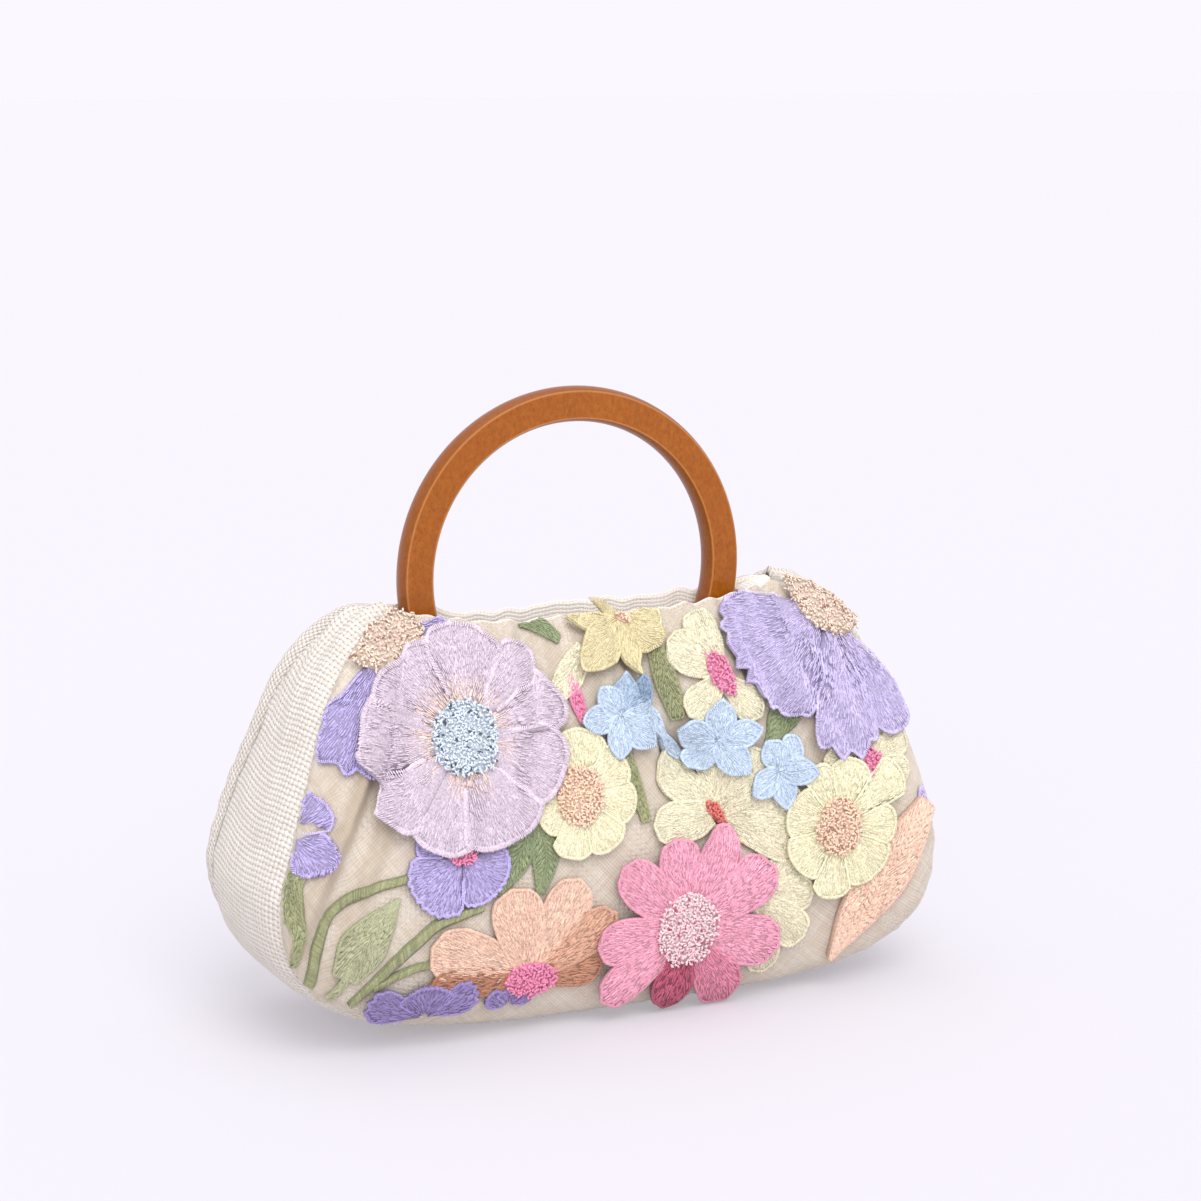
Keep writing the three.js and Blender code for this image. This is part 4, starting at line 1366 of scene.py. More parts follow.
@dataclass(frozen=True)
class Spray:
    """A leaf or a stem along a smooth path, with a width at each of its path's points."""

    COLUMNS = 7
    UNDERSIDE = 0.03
    EDGE_HEIGHT = 0.35
    PITCH = 0.42
    SPACING = 2.0
    HALF_STITCH = 1.25
    PROUD = 0.05
    NARROWEST = 0.6
    SATIN_SLANT = 0.55
    TONES = 0.12

    name: str
    path: tuple[tuple[float, float], ...]
    widths: tuple[float, ...]
    dye: Dye
    slot: str
    base: float = 0.1
    vein: bool = False
    satin: bool = False
    cut_out: bool = False
    puff: float = 0.45
    more: tuple[tuple[tuple[tuple[float, float], ...], tuple[float, ...]], ...] = ()

    def make(self, face: FrontFace, seed: int) -> None:
        """Builds the leaf or stem, and any further parts that belong to it."""
        work = Needlework(f"embroidered_{self.name}", face, seed, loose=self.cut_out, base=self.base)
        for path, widths in ((self.path, self.widths), *self.more):
            course = Course.through(np.array(path, float), np.array(widths, float))
            if not self._ribbon(work, course):
                continue
            if self.satin:
                self._satin(work, course)
            else:
                self._rows(work, course)
                self._rims(work, course)
        work.finish((self.name,), self.slot)

    def _crown(self, share: Array, width: Array) -> Array:
        """The ribbon's height over the face, at a share of its half width from its middle."""
        return self.base + self.EDGE_HEIGHT + self.puff * np.minimum(1, width / 2) * (1 - share**4)

    def _ribbon(self, work: Needlework, course: Course) -> bool:
        """Adds one ribbon of cloth, and says whether any of it lies on the bag's own cloth."""
        rows, columns = len(course.line), self.COLUMNS
        across = np.linspace(-1, 1, columns)
        reach = course.half[:, None] * course.aside
        places = (course.line[:, None] + across[None, :, None] * reach[:, None]).reshape(-1, 2)
        height = self._crown(across[None], course.half[:, None] * 2) * np.ones((rows, 1))
        on_cloth = work.face.covers(course.line)
        if on_cloth.any():
            places, _ = work.clipped(places, course.line[on_cloth].mean(0))
        first, total = work.count, len(places)
        work.faces += grid_faces(rows, columns, first)
        work.faces += grid_faces(rows, columns, first + total, flip=True)
        for j in range(rows - 1):
            a, b = first + j * columns, first + (j + 1) * columns
            c, d = a + columns - 1, b + columns - 1
            work.faces += [(a, a + total, b + total, b), (d, d + total, c + total, c)]
        for i in range(columns - 1):
            a, b = first + i, first + (rows - 1) * columns + i
            work.faces += [(a + 1, a + total + 1, a + total, a), (b, b + total, b + total + 1, b + 1)]
        work.add_layers(work.face.lifted(places, height.ravel(), work.loose),
                        work.face.lifted(places, np.full(total, self.UNDERSIDE), work.loose),
                        self.dye.ground)
        return bool(work.face.covers(places).any())

    def _satin(self, work: Needlework, course: Course) -> None:
        """Lays close slanted stitches across a stem."""
        centre, side, reach = course.at(np.arange(0.2, arc_lengths(course.line)[-1], self.PITCH))
        run = unit(side + self.SATIN_SLANT * np.stack([side[:, 1], -side[:, 0]], -1))
        rise = self._crown(np.zeros(1), reach * 2) + self.PROUD
        work.lay(centre, run, rise, girths(RIM_THREAD, reach * 1.15),
                 work.jittered(self.dye.thread, len(centre), self.TONES))

    def _rows(self, work: Needlework, course: Course) -> None:
        """Fills a leaf with rows of stitches, that lean out from its middle if it has a vein."""
        end = arc_lengths(course.line)[-1] - 0.4
        lean = 0.75 if self.vein else 0.12
        for share in np.arange(-0.92, 0.93, self.PITCH / max(1.0, course.half.max())):
            spots = np.arange(work.draw.uniform(0.3, 1.8), end, self.SPACING)
            spots = spots + work.draw.uniform(-0.4, 0.4, len(spots))
            centre, side, reach = course.at(spots)
            place = centre + side * (share * reach)[:, None]
            ahead = np.stack([side[:, 1], -side[:, 0]], -1)
            run = unit(ahead + side * lean * np.sign(share + 1e-6))
            girth = girths(RIM_THREAD, np.full(len(spots), self.HALF_STITCH))
            rise = self._crown(np.full(len(spots), share), reach * 2) + self.PROUD
            tone = work.jittered(self.dye.thread, len(spots), self.TONES)
            shown = reach > self.NARROWEST
            work.lay(place[shown], run[shown], rise[shown], girth[shown], tone[shown])

    def _rims(self, work: Needlework, course: Course) -> None:
        """Lays a raised edge round a leaf, and its vein."""
        inset = course.aside * course.half[:, None] * 0.9
        edge = np.concatenate([course.line + inset, (course.line - inset)[::-1]])
        work.rim(edge, self.dye.rim, lambda place: np.full(len(place), self.base + 0.5), width=1.1)
        if self.vein:
            height = self.base + 0.45 + self.puff
            work.rim(course.line[1:-1], self.dye.rim, lambda place: np.full(len(place), height),
                     closed=False, width=1.0)


# ----------------------------------------------------------------------
# The garden on the front: every flower, leaf and stem


def spun(red: float, green: float, blue: float, depth: float = 0.78, glow: float = 1.05,
         root: Optional[Colour] = None, root_reach: float = 0.0) -> Dye:
    """A dye from one screen colour, with a deeper ground, darkened as painted shade between the threads, and
    a brighter rim.
    """
    thread = dyed(red, green, blue)
    ground, rim = tuple(depth * c for c in thread), tuple(min(1.0, glow * c) for c in thread)
    return Dye(thread, ground, rim, root, root_reach)


LILAC = spun(224, 208, 221, 0.8, 1.05, dyed(246, 220, 204), 14.5)
PURPLE = spun(196, 183, 230, 0.62, 1.08)
# A darker purple, painted shade on the flowers low on the bag.
PURPLE_IN_SHADE = spun(157, 139, 192, 0.6, 1.12)
MAUVE = spun(207, 195, 232, 0.7, 1.05)
YELLOW = spun(246, 239, 204, 0.88, 1.02)
CREAM = spun(243, 236, 206, 0.86, 1.02)
GOLD = spun(233, 220, 174, 0.8, 1.04)
PEACH = spun(250, 212, 188, 0.72, 0.94)
PINK = spun(252, 178, 200, 0.66, 0.9)
BLUE = spun(205, 222, 240, 0.8, 1.02)
GREEN = spun(166, 169, 125, 0.66, 1.06)
PALE_GREEN = spun(188, 190, 152, 0.74, 0.96)
DARK_GREEN = spun(154, 166, 124, 0.66, 0.96)
HOT_PINK = dyed(246, 150, 186)
PALE_PINK = dyed(255, 220, 224)
CORAL = dyed(236, 128, 118)
ORANGE_PEACH = dyed(255, 219, 191)
IVORY = dyed(244, 222, 202)
SKY = dyed(224, 235, 245)
BROWN_KNOT = dyed(170, 120, 100)


def blades(tip: Tip, *petals: tuple[float, ...]) -> tuple[Blade, ...]:
    """Slim petals with one tip, each from its angle, its reach, its width and perhaps how far painted shade
    darkens it.
    """
    return tuple(Blade(angle, reach, width, tip, *shade) for angle, reach, width, *shade in petals)


FLOWERS = (
    Flower("left_purple_flower", (-68.2, 121.3), (
        Fan(-152, -106, 41, Tip.JAGGED), Fan(-106, -52, 36), Fan(-52, 18, 22)), PURPLE, "purple",
        Heart(IVORY, (12.2, 7.8), 14, (-0.5, 0.0), BROWN_KNOT, "left_purple_centre", "ivory"), 0.2, 0.3,
        cut_out=False),
    Flower("seam_lavender_flower", (-104.5, 70.0), (
        Fan(8, 88, 14.0, Tip.JAGGED, 0.2), Fan(-106, 8, 13.0, Tip.JAGGED, 0.4)), PURPLE, "purple",
        None, 0.15, 0.2, 0.4, 0.3, cut_out=False),
    Flower("pansy", (-54.5, 59.6), (
        Fan(140, 174, 15.6), Fan(174, 266, 19.8, Tip.JAGGED, 0.16), Fan(-92, 6, 17.0, Tip.JAGGED, 0.14)),
        PURPLE, "purple",
        Heart(HOT_PINK, (4.2, 2.8), 0, (0, 0.6), None, "pansy_centre", "hot_pink"), 0.2, 0.3),
    Flower("left_yellow_flower", (-15.1, 73.9), (
        Fan(112, 176, 19.5), Fan(52, 112, 19), Fan(6, 52, 18.5), Fan(-38, 6, 19), Fan(-82, -38, 19.8),
        Fan(-126, -82, 19.5), Fan(-184, -126, 16)), YELLOW, "yellow",
        Heart(ORANGE_PEACH, (7.8, 9.0), 0, (0, -0.6), None, "left_yellow_centre", "peach_knots"), 0.5, 1.0),
    Flower("peach_flower", (-32.1, 19.8), blades(
        Tip.ROUND, (2, 24, 12, 0.7), (178, 34, 11, 0.62), (32, 32.5, 13, 0.85), (157, 36.5, 17),
        (62, 33, 15.5), (104, 29.5, 17)), PEACH, "peach",
        Heart(HOT_PINK, (9.0, 5.6), 0, (0, -0.5), None, "peach_centre", "hot_pink"), 0.3, 0.8),
    Flower("cream_petal_right", (38.2, 103.9), blades(
        Tip.ROUND, (103, 19, 12), (146, 18.5, 12.5), (-136, 16.5, 10.5), (-51, 17.5, 11)), CREAM, "cream",
        Heart(HOT_PINK, (3.6, 7.0), 24, (0, 0), None, "pink_bud_upper", "hot_pink"), 0.2, 0.5, 0.5,
        cut_out=False),
    Flower("cream_fan", (33.5, 61.5), blades(
        Tip.ROUND, (12, 27, 15), (-24, 30, 14), (48, 25, 14), (86, 20, 12), (138, 28, 13),
        (179, 24.5, 13)), CREAM, "cream",
        Heart(CORAL, (2.2, 5.4), 42, (-1.0, 0.5), slot="hot_pink"), 0.2, 0.4, 0.5, cut_out=False),
    Flower("cream_petal_low", (43, 36), blades(
        Tip.ROUND, (34, 23, 12), (-4, 22, 12), (-40, 25, 13), (-76, 27, 12)), CREAM, "cream", None,
        0.2, 0.4, 0.5, cut_out=False),
    Flower("cream_edge_flower", (86, 73), blades(
        Tip.ROUND, (75, 13, 9), (28, 16.5, 10), (-16, 15, 9), (168, 17, 9)), CREAM, "cream",
        Heart(HOT_PINK, (6.4, 3.6), -48, (0, 0)), 0.2, 0.4, 0.5, cut_out=False),
    Flower("lilac_flower", (-51.1, 93.4), (
        Fan(-1, 30, 34.7), Fan(28, 54, 33.2), Fan(52, 106, 30.5), Fan(104, 157, 29.0, notch=0.05),
        Fan(154, 202, 32.4, notch=0.07), Fan(200, 233, 34.4, notch=0.09), Fan(231, 268, 34, notch=0.07),
        Fan(266, 318, 33, notch=0.07), Fan(316, 361, 33.5)), LILAC, "lilac",
        # The lilac heart's dark knots are painted shade for small holes among the knots.
        Heart(SKY, (10.6, 10.8), 0, (0, 0), dyed(70, 74, 90), "lilac_centre", "light_blue"), 1.9, 1.2, 0.7,
        1.5, 2.4),
    Flower("pink_flower", (19.0, 29.5), blades(
        Tip.ROUND, (-54, 32, 15, 0.9), (-98, 26, 14, 0.64), (136, 31, 14.5), (97, 28.5, 14.5),
        (60, 33, 15), (27, 34, 14.5), (-16, 34, 16.5), (-144, 33.5, 14.5), (-176, 31, 14)),
        PINK, "pink",
        Heart(PALE_PINK, (10.2, 11.6), 0, (0, 0), dyed(196, 84, 110), "pink_centre", "pale_pink"),
        1.8, 1.5, 1.0),
    Flower("blue_flower_left", (0.9, 95.0), blades(
        Tip.POINTED, (28, 18, 8, 0.72), (66, 12, 8.5, 0.9), (122, 10, 8.5), (-175, 12.5, 8.5),
        (-98, 13, 8.5), (-48, 13.5, 9), (10, 11, 8.5)), BLUE, "light_blue", None, 1.8, 1.4, 0.9, 0.0),
    Flower("blue_flower_middle", (34.6, 84.9), blades(
        Tip.POINTED, (82, 12, 9), (159, 13.2, 8.5), (9, 14, 8.5), (-135, 13.8, 9), (-56, 13.2, 9)),
        BLUE, "light_blue", None, 1.8, 1.6, 0.9, 0.0),
    Flower("blue_flower_right", (53.4, 74.2), blades(
        Tip.POINTED, (114, 10, 8.5), (48, 12.5, 8.5), (-8, 12.5, 8.5), (-84, 12, 8.5),
        (-146, 12.5, 8.5)), BLUE, "light_blue", None, 1.8, 1.5, 0.9, 0.0),
    Flower("narcissus", (10.2, 121.5), (
        *blades(Tip.ROUND, (4, 13.5, 8.5), (-40, 13, 9)),
        *blades(Tip.POINTED, (152, 18, 6), (178, 20.5, 8), (-146, 23.6, 11.5), (-88, 17.5, 11))),
        GOLD, "cream",
        Heart(ORANGE_PEACH, (3.2, 2.4), 0, (0, 0), None, "narcissus_centre", "peach_knots"), 1.6, 1.8, 0.8,
        0.5),
    Flower("right_yellow_flower", (72.0, 55.4), (
        Fan(50, 92, 21.4), Fan(18, 50, 27), Fan(-22, 18, 20), Fan(-78, -22, 21), Fan(-115, -78, 22.5),
        Fan(-172, -115, 19), Fan(128, 188, 18), Fan(92, 128, 20.5)), YELLOW, "yellow",
        Heart(ORANGE_PEACH, (7.8, 9.2), 0, (0, 0), BROWN_KNOT, "right_yellow_centre", "peach_knots"), 1.8,
        1.4, 0.6),
    Flower("top_purple_flower", (78.4, 120.3), (
        Fan(164, 250, 39, Tip.JAGGED, 0.16), Fan(284, 313, 43.5, Tip.ROUND, 0.2),
        Fan(250, 288, 45.5, Tip.JAGGED, 0.2)), MAUVE, "purple",
        Heart(IVORY, (13.0, 9.0), -38, (0.5, 1.0), BROWN_KNOT, "top_purple_centre", "ivory"), 1.7, 1.0, 0.8,
        3.0, 1.7),
    Flower("lower_purple_flower", (-66.0, 11.6), (
        Fan(134, 180, 20.0, Tip.JAGGED, 0.3), Fan(0, 50, 18.0, Tip.JAGGED, 0.3),
        Fan(34, 146, 11.0, Tip.JAGGED, 0.0)), PURPLE_IN_SHADE, "purple", None, 1.1, 0.7),
    Flower("lower_purple_petals", (-38.5, 11.0), (
        Fan(0, 64, 9.0, Tip.JAGGED, 0.3), Fan(116, 180, 9.0, Tip.JAGGED, 0.3),
        Fan(44, 136, 6.4, Tip.JAGGED, 0.0)), PURPLE_IN_SHADE, "purple", None, 0.6, 0.4),
)

SPRAYS = (
    Spray("seam_leaf", ((-96, 64.7), (-104.6, 58.5), (-107, 50), (-105.4, 42), (-107, 32)),
          (2.2, 4.4, 6.6, 3.0, 2.4), GREEN, "green"),
    Spray("bud_stem", ((-72, 55.4), (-84.7, 53.1), (-94.8, 48.0), (-99.4, 40.1), (-101.5, 25.3)),
          (2.8, 3.2, 3.4, 3.6, 3.4), GREEN, "green", satin=True),
    Spray("green_bud", ((-75.5, 49.5), (-81, 43), (-86.5, 36), (-91.5, 27)), (0.8, 9.5, 15.5, 9.5),
          PALE_GREEN, "green", more=((((-90.5, 28), (-93, 24), (-95.6, 21)), (2.6, 2.6, 2.4)),)),
    Spray("long_stem", ((-48, 43.6), (-61.6, 40.8), (-69.5, 35.8), (-77.5, 29.3), (-89, 17.6)),
          (3.0, 3.6, 4.0, 3.8, 2.6), GREEN, "green", satin=True),
    Spray("short_branch", ((-60, 28.6), (-72.4, 27.0), (-82.5, 22.4)), (2.6, 2.8, 2.4), GREEN, "green",
          satin=True),
    Spray("dark_leaf", ((-29.5, 67), (-27.5, 57), (-29.5, 46)), (3, 9, 2), DARK_GREEN, "dark_green",
          vein=True, more=((((-33, 66), (-37, 57), (-43, 47)), (3, 9.5, 2)),)),
    Spray("upper_leaf", ((19.2, 112.5), (21.0, 102.5), (23, 92)), (4.5, 6.6, 4), GREEN, "green"),
    Spray("right_leaf", ((64, 96.5), (58, 89.4), (51.5, 82)), (4.5, 9, 3.5), DARK_GREEN, "dark_green"),
    Spray("middle_leaf", ((2.5, 84), (4.4, 74), (7, 63.5)), (3.2, 4.6, 3), GREEN, "green"),
    Spray("mouth_leaf", ((-23.5, 123.0), (-18, 122), (-13, 118)), (2.5, 4.6, 3), DARK_GREEN, "dark_green"),
    Spray("cream_petal_left", ((-6, 115), (-12, 108), (-19, 101)), (5, 9, 4), CREAM, "cream"),
    Spray("peach_petal", ((73.5, 11), (81, 26), (91, 40.5), (106.5, 58)), (1.5, 14.5, 20, 7), PEACH, "peach",
          base=1.6, cut_out=True, puff=0.8),
    Spray("pink_bud_left", ((-12, 107.6), (-11.4, 101), (-10, 94.5)), (1.5, 4.2, 2.5),
          Dye(HOT_PINK, dyed(190, 70, 112), HOT_PINK), "hot_pink"),
    Spray("lavender_bud", ((105.4, 63), (105.9, 59.9), (105.6, 56.6)), (1.5, 3.4, 1.5), MAUVE, "purple"),
    Spray("blue_buds", ((12.2, 95.4), (14.6, 91.2), (17.0, 87.0)), (3, 6, 2.6), BLUE, "light_blue",
          base=1.0, cut_out=True, more=((((16.4, 87.2), (20.4, 83.2), (24.6, 79.4)), (2.6, 6, 3)),)),
)


def embroider(face: FrontFace) -> None:
    """Builds every flower, leaf and stem on the front, each with its own seed."""
    for number, motif in enumerate((*FLOWERS, *SPRAYS)):
        motif.make(face, 11 + 7 * number)


# ----------------------------------------------------------------------
# The padded linen body


@dataclass
class LinenBody:
    """The two padded panels and the gusset strip between them."""

    rows: int = 100
    columns: int = 168
    strip_columns: int = 25
    roll: float = 0.9
    seam_tuck: float = 1.3
    tuck_width: float = 3.2
    gather_depth: float = 1.4
    fold_share: float = 0.5
    facing: float = 13.0
    mouth_closed: float = 0.91
    gusset_weave: float = 0.8
    end_reach: tuple[float, float] = (3.4, 8.5)
    end_drop: float = 4.5
    padding: float = 0.45

    def steps(self) -> tuple[Array, Array]:
        """The panel's grid, closer together towards the edges."""
        even = np.linspace(0, 1, self.columns)
        u = 0.4 * even + 0.6 * (0.5 - 0.5 * np.cos(math.pi * even))
        even = np.linspace(0, 1, self.rows)
        v = 0.5 * even + 0.5 * (0.5 - 0.5 * np.cos(math.pi * even))
        return np.meshgrid(u, v)

    def panel_faces(self, face: int) -> tuple[Array, Array]:
        """A panel's outer points and directions, with its gathers and the tuck at its seams.

        Args:
            face: FRONT or BACK.

        Returns:
            The outer grid and its directions.
        """
        u, v = self.steps()
        plain = FORM.panel(u, v, face)
        x, z = plain[..., 0], plain[..., 2]
        normal = grid_normals(plain, face)
        edge = np.minimum(np.minimum(u, 1 - u) * 190, (1 - v) * 150)
        tuck = -self.seam_tuck * np.exp(-edge / self.tuck_width)
        seed, depth = (3, self.gather_depth) if face == FRONT else (8, self.gather_depth * 0.45)
        mouth = np.exp(-v / 0.22) * np.clip(np.minimum(u, 1 - u) / 0.05, 0, 1)
        gather = depth * mouth * ripple(x + 14 * v * np.sin(7 * u), seed, 13.0)
        pucker = 0.35 * np.exp(-edge / 7.0) * ripple(z + x * 0.5, seed + 1, 7.5)
        slack = 0.9 * ripple(x + 0.6 * z, seed + 2, 52) * np.clip(edge / 30, 0, 1)
        if face == FRONT:
            slack = slack - self.fold_share * FORM.fold_depth(x, z) * np.clip(edge / 12, 0, 1)
        fade = np.clip(edge / 2.5, 0, 1)
        return plain + normal * (tuck + (gather + pucker + slack) * fade)[..., None], normal

    def make(self) -> tuple[Array, Array]:
        """Builds the panels, the strip and the cloth inside the mouth.

        Returns:
            The front panel's outer grid and directions.
        """
        panels = {face: self.panel_faces(face) for face in (FRONT, BACK)}
        for face, node in ((FRONT, "front_panel"), (BACK, "back_panel")):
            outer, normal = panels[face]
            thing = shell(f"padded_{node}", outer, outer - normal * FORM.wall, self.roll)
            hand_over(thing, Finish.LINEN, "linen", node)
        self.strip()
        for face in (FRONT, BACK):
            self.mouth_facing(face, panels[face][0])
        for side, reach in zip((-1, 1), self.end_reach):
            self.mouth_end(side, reach)
        return panels[FRONT]

    def mouth_facing(self, face: int, outer: Array) -> None:
        """Builds the cloth that is turned down inside the mouth.

        Args:
            face: FRONT or BACK.
            outer: the outer grid of that panel.
        """
        name = "front" if face == FRONT else "back"
        edge = outer[0, 1:-1] - np.array([0, face * 1.0, 0.0])
        drop = np.linspace(0, 1, 12)[:, None]
        from_middle = np.abs(np.linspace(-1, 1, len(edge)))
        wave = 0.3 * ripple(edge[:, 0], 61 + face, 9.0)
        lean = from_middle**6
        shift_y = face * (drop * (0.5 + wave[None]) * (1 - lean[None]))
        closing = np.clip((from_middle - self.mouth_closed) / 0.06, 0, 1)[None] * np.minimum(1, 3 * drop)
        shift_y = shift_y - closing * (edge[:, 1] - face * 0.6)[None]
        shift_z = -drop * self.facing * (1 - 0.45 * lean[None])
        sheet = edge[None] + np.stack([0 * shift_y, shift_y, shift_z], -1)
        sheet[..., 2] += 0.3
        thing = shell(f"{name}_mouth_facing", sheet, sheet + np.array([0, face * 0.5, 0]))
        hand_over(thing, Finish.FACING, "linen")
        sizes = cloth_lengths(sheet)

    def mouth_end(self, side: int, reach: float) -> None:
        """Builds the gusset's turned-in end, which closes one end of the mouth.

        Args:
            side: -1 at the left, 1 at the right.
            reach: how far it runs in from the mouth's end, in mm.
        """
        share = np.linspace(0, 1, 9)
        ends = FORM.mouth_point(np.array([0.0, 1.0]), FRONT)
        width = ends[1, 0] - ends[0, 0]
        inward = (0.4 + share * reach) / width
        u = inward if side < 0 else 1 - inward
        front, back = FORM.mouth_point(u, FRONT), FORM.mouth_point(u, BACK)
        front[:, 1] += FORM.wall / 2
        back[:, 1] -= FORM.wall / 2
        across = np.linspace(0, 1, 9)[None, :, None]
        sheet = front[:, None] * (1 - across) + back[:, None] * across
        drop = self.end_drop * share[:, None] ** 1.4
        sheet[..., 2] = ends[0, 2] - 0.5 - drop + 0.5 * np.sin(math.pi * across[..., 0])
        lower = sheet - np.array([0.0, 0.0, 1.0])
        thing = shell(f"mouth_end_{'left' if side < 0 else 'right'}", sheet, lower)
        hand_over(thing, Finish.FACING, "linen")

    def strip(self) -> None:
        """Builds the gusset strip, from one end of the mouth under the base to the other."""
        t, side = FORM.seam_course(120, 200)
        front, back = FORM.seam_point(t, side, FRONT), FORM.seam_point(t, side, BACK)
        front[:, 1] += FORM.seam_gap
        back[:, 1] -= FORM.seam_gap
        outward = FORM.seam_normal(t, side)
        share = 0.5 - 0.5 * np.cos(math.pi * np.linspace(0, 1, self.strip_columns))
        crown = FORM.gusset_crown * (1 - np.abs(2 * share - 1) ** 4)
        base = front[:, None] + (back - front)[:, None] * share[None, :, None]
        width = np.linalg.norm(back - front, axis=1)[:, None]
        edge = np.minimum(share, 1 - share)[None] * width
        along = arc_lengths(front)[:, None]
        wrinkle = 0.3 * np.exp(-edge / 6.0) * ripple(along + edge * 0.6, 21, 8.0)
        upper = np.exp(-np.minimum(along, along[-1] - along) / 34.0)
        crease = 1.3 * upper * ripple(base[..., 1] + along * 0.25, 23, 13.0) * np.clip(edge / 4, 0, 1)
        tuck = -self.seam_tuck * np.exp(-edge / self.tuck_width)
        height = crown[None] + tuck + (wrinkle + crease) * np.clip(edge / 2.0, 0, 1)
        outer = base + outward[:, None] * height[..., None]
        inner = base + outward[:, None] * (height - FORM.wall)[..., None]
        outer[..., 2] = np.maximum(outer[..., 2], 0.0)
        inner[..., 2] = np.maximum(inner[..., 2], FORM.wall)
        thing = shell("padded_gusset", outer, inner)
        layer = thing.data.uv_layers["cloth"]
        uv = np.zeros(2 * len(layer.data), np.float32)
        layer.data.foreach_get("uv", uv)
        uv[0::2] *= self.gusset_weave
        layer.data.foreach_set("uv", uv)
        hand_over(thing, Finish.LINEN, "linen", "gusset")


@dataclass
class TulleOverlay:
    """The sheer layer over the front panel, gathered at the mouth into long pleats."""

    outer: Array
    normal: Array
    clearance: float = 0.45
    thickness: float = 0.22
    pleats: tuple[tuple[float, float, float, float, float], ...] = (
        (-65, 122, -108, 32, 4.2), (-59, 122, -97, 20, 1.6), (-75, 116, -109, 52, 0.8),
        (-40, 122, -60, 20, 0.9),
        (-27, 123, -36, 60, 1.3), (-14, 123, -20, 84, 1.2), (-4, 123, -6, 90, 1.1), (6, 123, 10, 70, 1.2),
        (18, 123, 30, 62, 1.5), (26, 123, 44, 66, 1.4), (36, 123, 62, 62, 1.2), (46, 124, 76, 70, 1.3),
        (57, 125, 92, 60, 1.3),
    )

    def surface(self) -> tuple[Array, Array]:
        """The tulle's outer face, and how much cloth is folded together there, from 0 to 1."""
        x, z = self.outer[..., 0], self.outer[..., 2]
        height = np.full(x.shape, self.clearance)
        folded = np.zeros(x.shape)
        place = np.stack([x, z], -1)
        for x0, z0, x1, z1, rise in self.pleats:
            start, along = np.array([x0, z0]), np.array([x1 - x0, z1 - z0])
            length = np.linalg.norm(along)
            offset = place - start
            share = offset @ along / length**2
            side = (offset[..., 0] * along[1] - offset[..., 1] * along[0]) / length
            side = side + 0.8 * np.sin(share * 9 + x0)
            width = 1.5 + 1.3 * np.clip(share, 0, 1)
            fade = np.clip(1.06 - share, 0, 1) ** 0.4 * np.clip(share * 2.4 + 0.1, 0, 1)
            ridge = np.exp(-np.abs(side / width) ** 2.4) * (1 + 0.35 * np.tanh(side / width * 2))
            height = height + rise * fade * ridge
            thick = min(1.0, rise / 2) * fade * np.exp(-np.abs(side / (width * 1.5)) ** 4)
            folded = np.maximum(folded, thick)
        u = np.linspace(0, 1, x.shape[1])[None]
        v = np.linspace(0, 1, x.shape[0])[:, None]
        edge = np.clip(np.minimum(np.minimum(u, 1 - u) / 0.03, (1 - v) / 0.03), 0, 1)
        height = self.clearance + (height - self.clearance) * edge
        height = height + 0.18 * ripple(x + 0.35 * z, 41, 6.0) * edge
        return self.outer + self.normal * height[..., None], folded

    def make(self) -> Array:
        """Builds the tulle, and returns its outer face's grid."""
        upper, folded = self.surface()
        lower = upper - self.normal * self.thickness
        thing = shell("gathered_tulle", upper, lower)
        layer = thing.data.attributes.new("folded", "FLOAT", "POINT")
        layer.data.foreach_set("value", np.concatenate([folded[::-1], folded]).ravel().astype(np.float32))
        hand_over(thing, Finish.TULLE, "tulle", "tulle_overlay")
        sizes = cloth_lengths(upper)
        return upper


# ----------------------------------------------------------------------
# The handle, its loops and the seams' thread


@dataclass
class RingHandle:
    """The turned wooden ring."""

    centre: tuple[float, float, float] = RING_CENTRE
    diameter: float = 115.0
    width: float = 11.0
    depth: float = 8.4
    bulge: float = 1.3
    roundness: float = 48.0
    crease: float = 32.0
    ledge: tuple[float, ...] = (0.985, 0.88, 0.4, -0.4, -0.88, -0.985)
    segments: int = 200

    def make(self) -> None:
        """Builds the ring."""
        radius = (self.diameter - self.width) / 2
        flat, deep, widest = self.width / 2 - self.bulge, self.depth / 2, math.radians(self.roundness)
        turn = np.linspace(-widest, widest, 15)
        side = flat + self.bulge * (np.cos(turn) - math.cos(widest)) / (1 - math.cos(widest))
        back = deep * np.sin(turn) / math.sin(widest)
        across = np.array(self.ledge) * flat
        profile = np.array([*zip(radius + side, back), *((radius + x, deep) for x in across),
                            *zip(radius - side, -back), *((radius - x, -deep) for x in across)])
        # The first array marks the creases for a painted highlight, the second the side bands for painted
        # shade.
        edge_highlight, sides = np.zeros(len(profile)), np.zeros(len(profile))
        half = len(profile) // 2
        for first in (0, half):
            edge_highlight[[first, first + len(side) - 1, first + len(side), first + half - 1]] = 1.0
            sides[first + 1:first + len(side) - 1] = 1.0
        turn = np.linspace(0, 2 * math.pi, self.segments, endpoint=False)
        ring = np.stack([
            profile[:, 0][:, None] * np.cos(turn),
            np.repeat(profile[:, 1][:, None], self.segments, 1),
            profile[:, 0][:, None] * np.sin(turn)], -1) + np.array(self.centre)
        faces = grid_faces(len(profile), self.segments, around=True, closed=True)
        thing = make_object("turned_ring_handle", ring.reshape(-1, 3), faces)
        face_outwards(thing)
        for key, values in (("edge_highlight", edge_highlight), ("side", sides)):
            layer = thing.data.attributes.new(key, "FLOAT", "POINT")
            layer.data.foreach_set("value", np.repeat(values, self.segments).astype(np.float32))
        thing.data.set_sharp_from_angle(angle=math.radians(self.crease))
        hand_over(thing, Finish.WOOD, "wood", "wooden_handle")


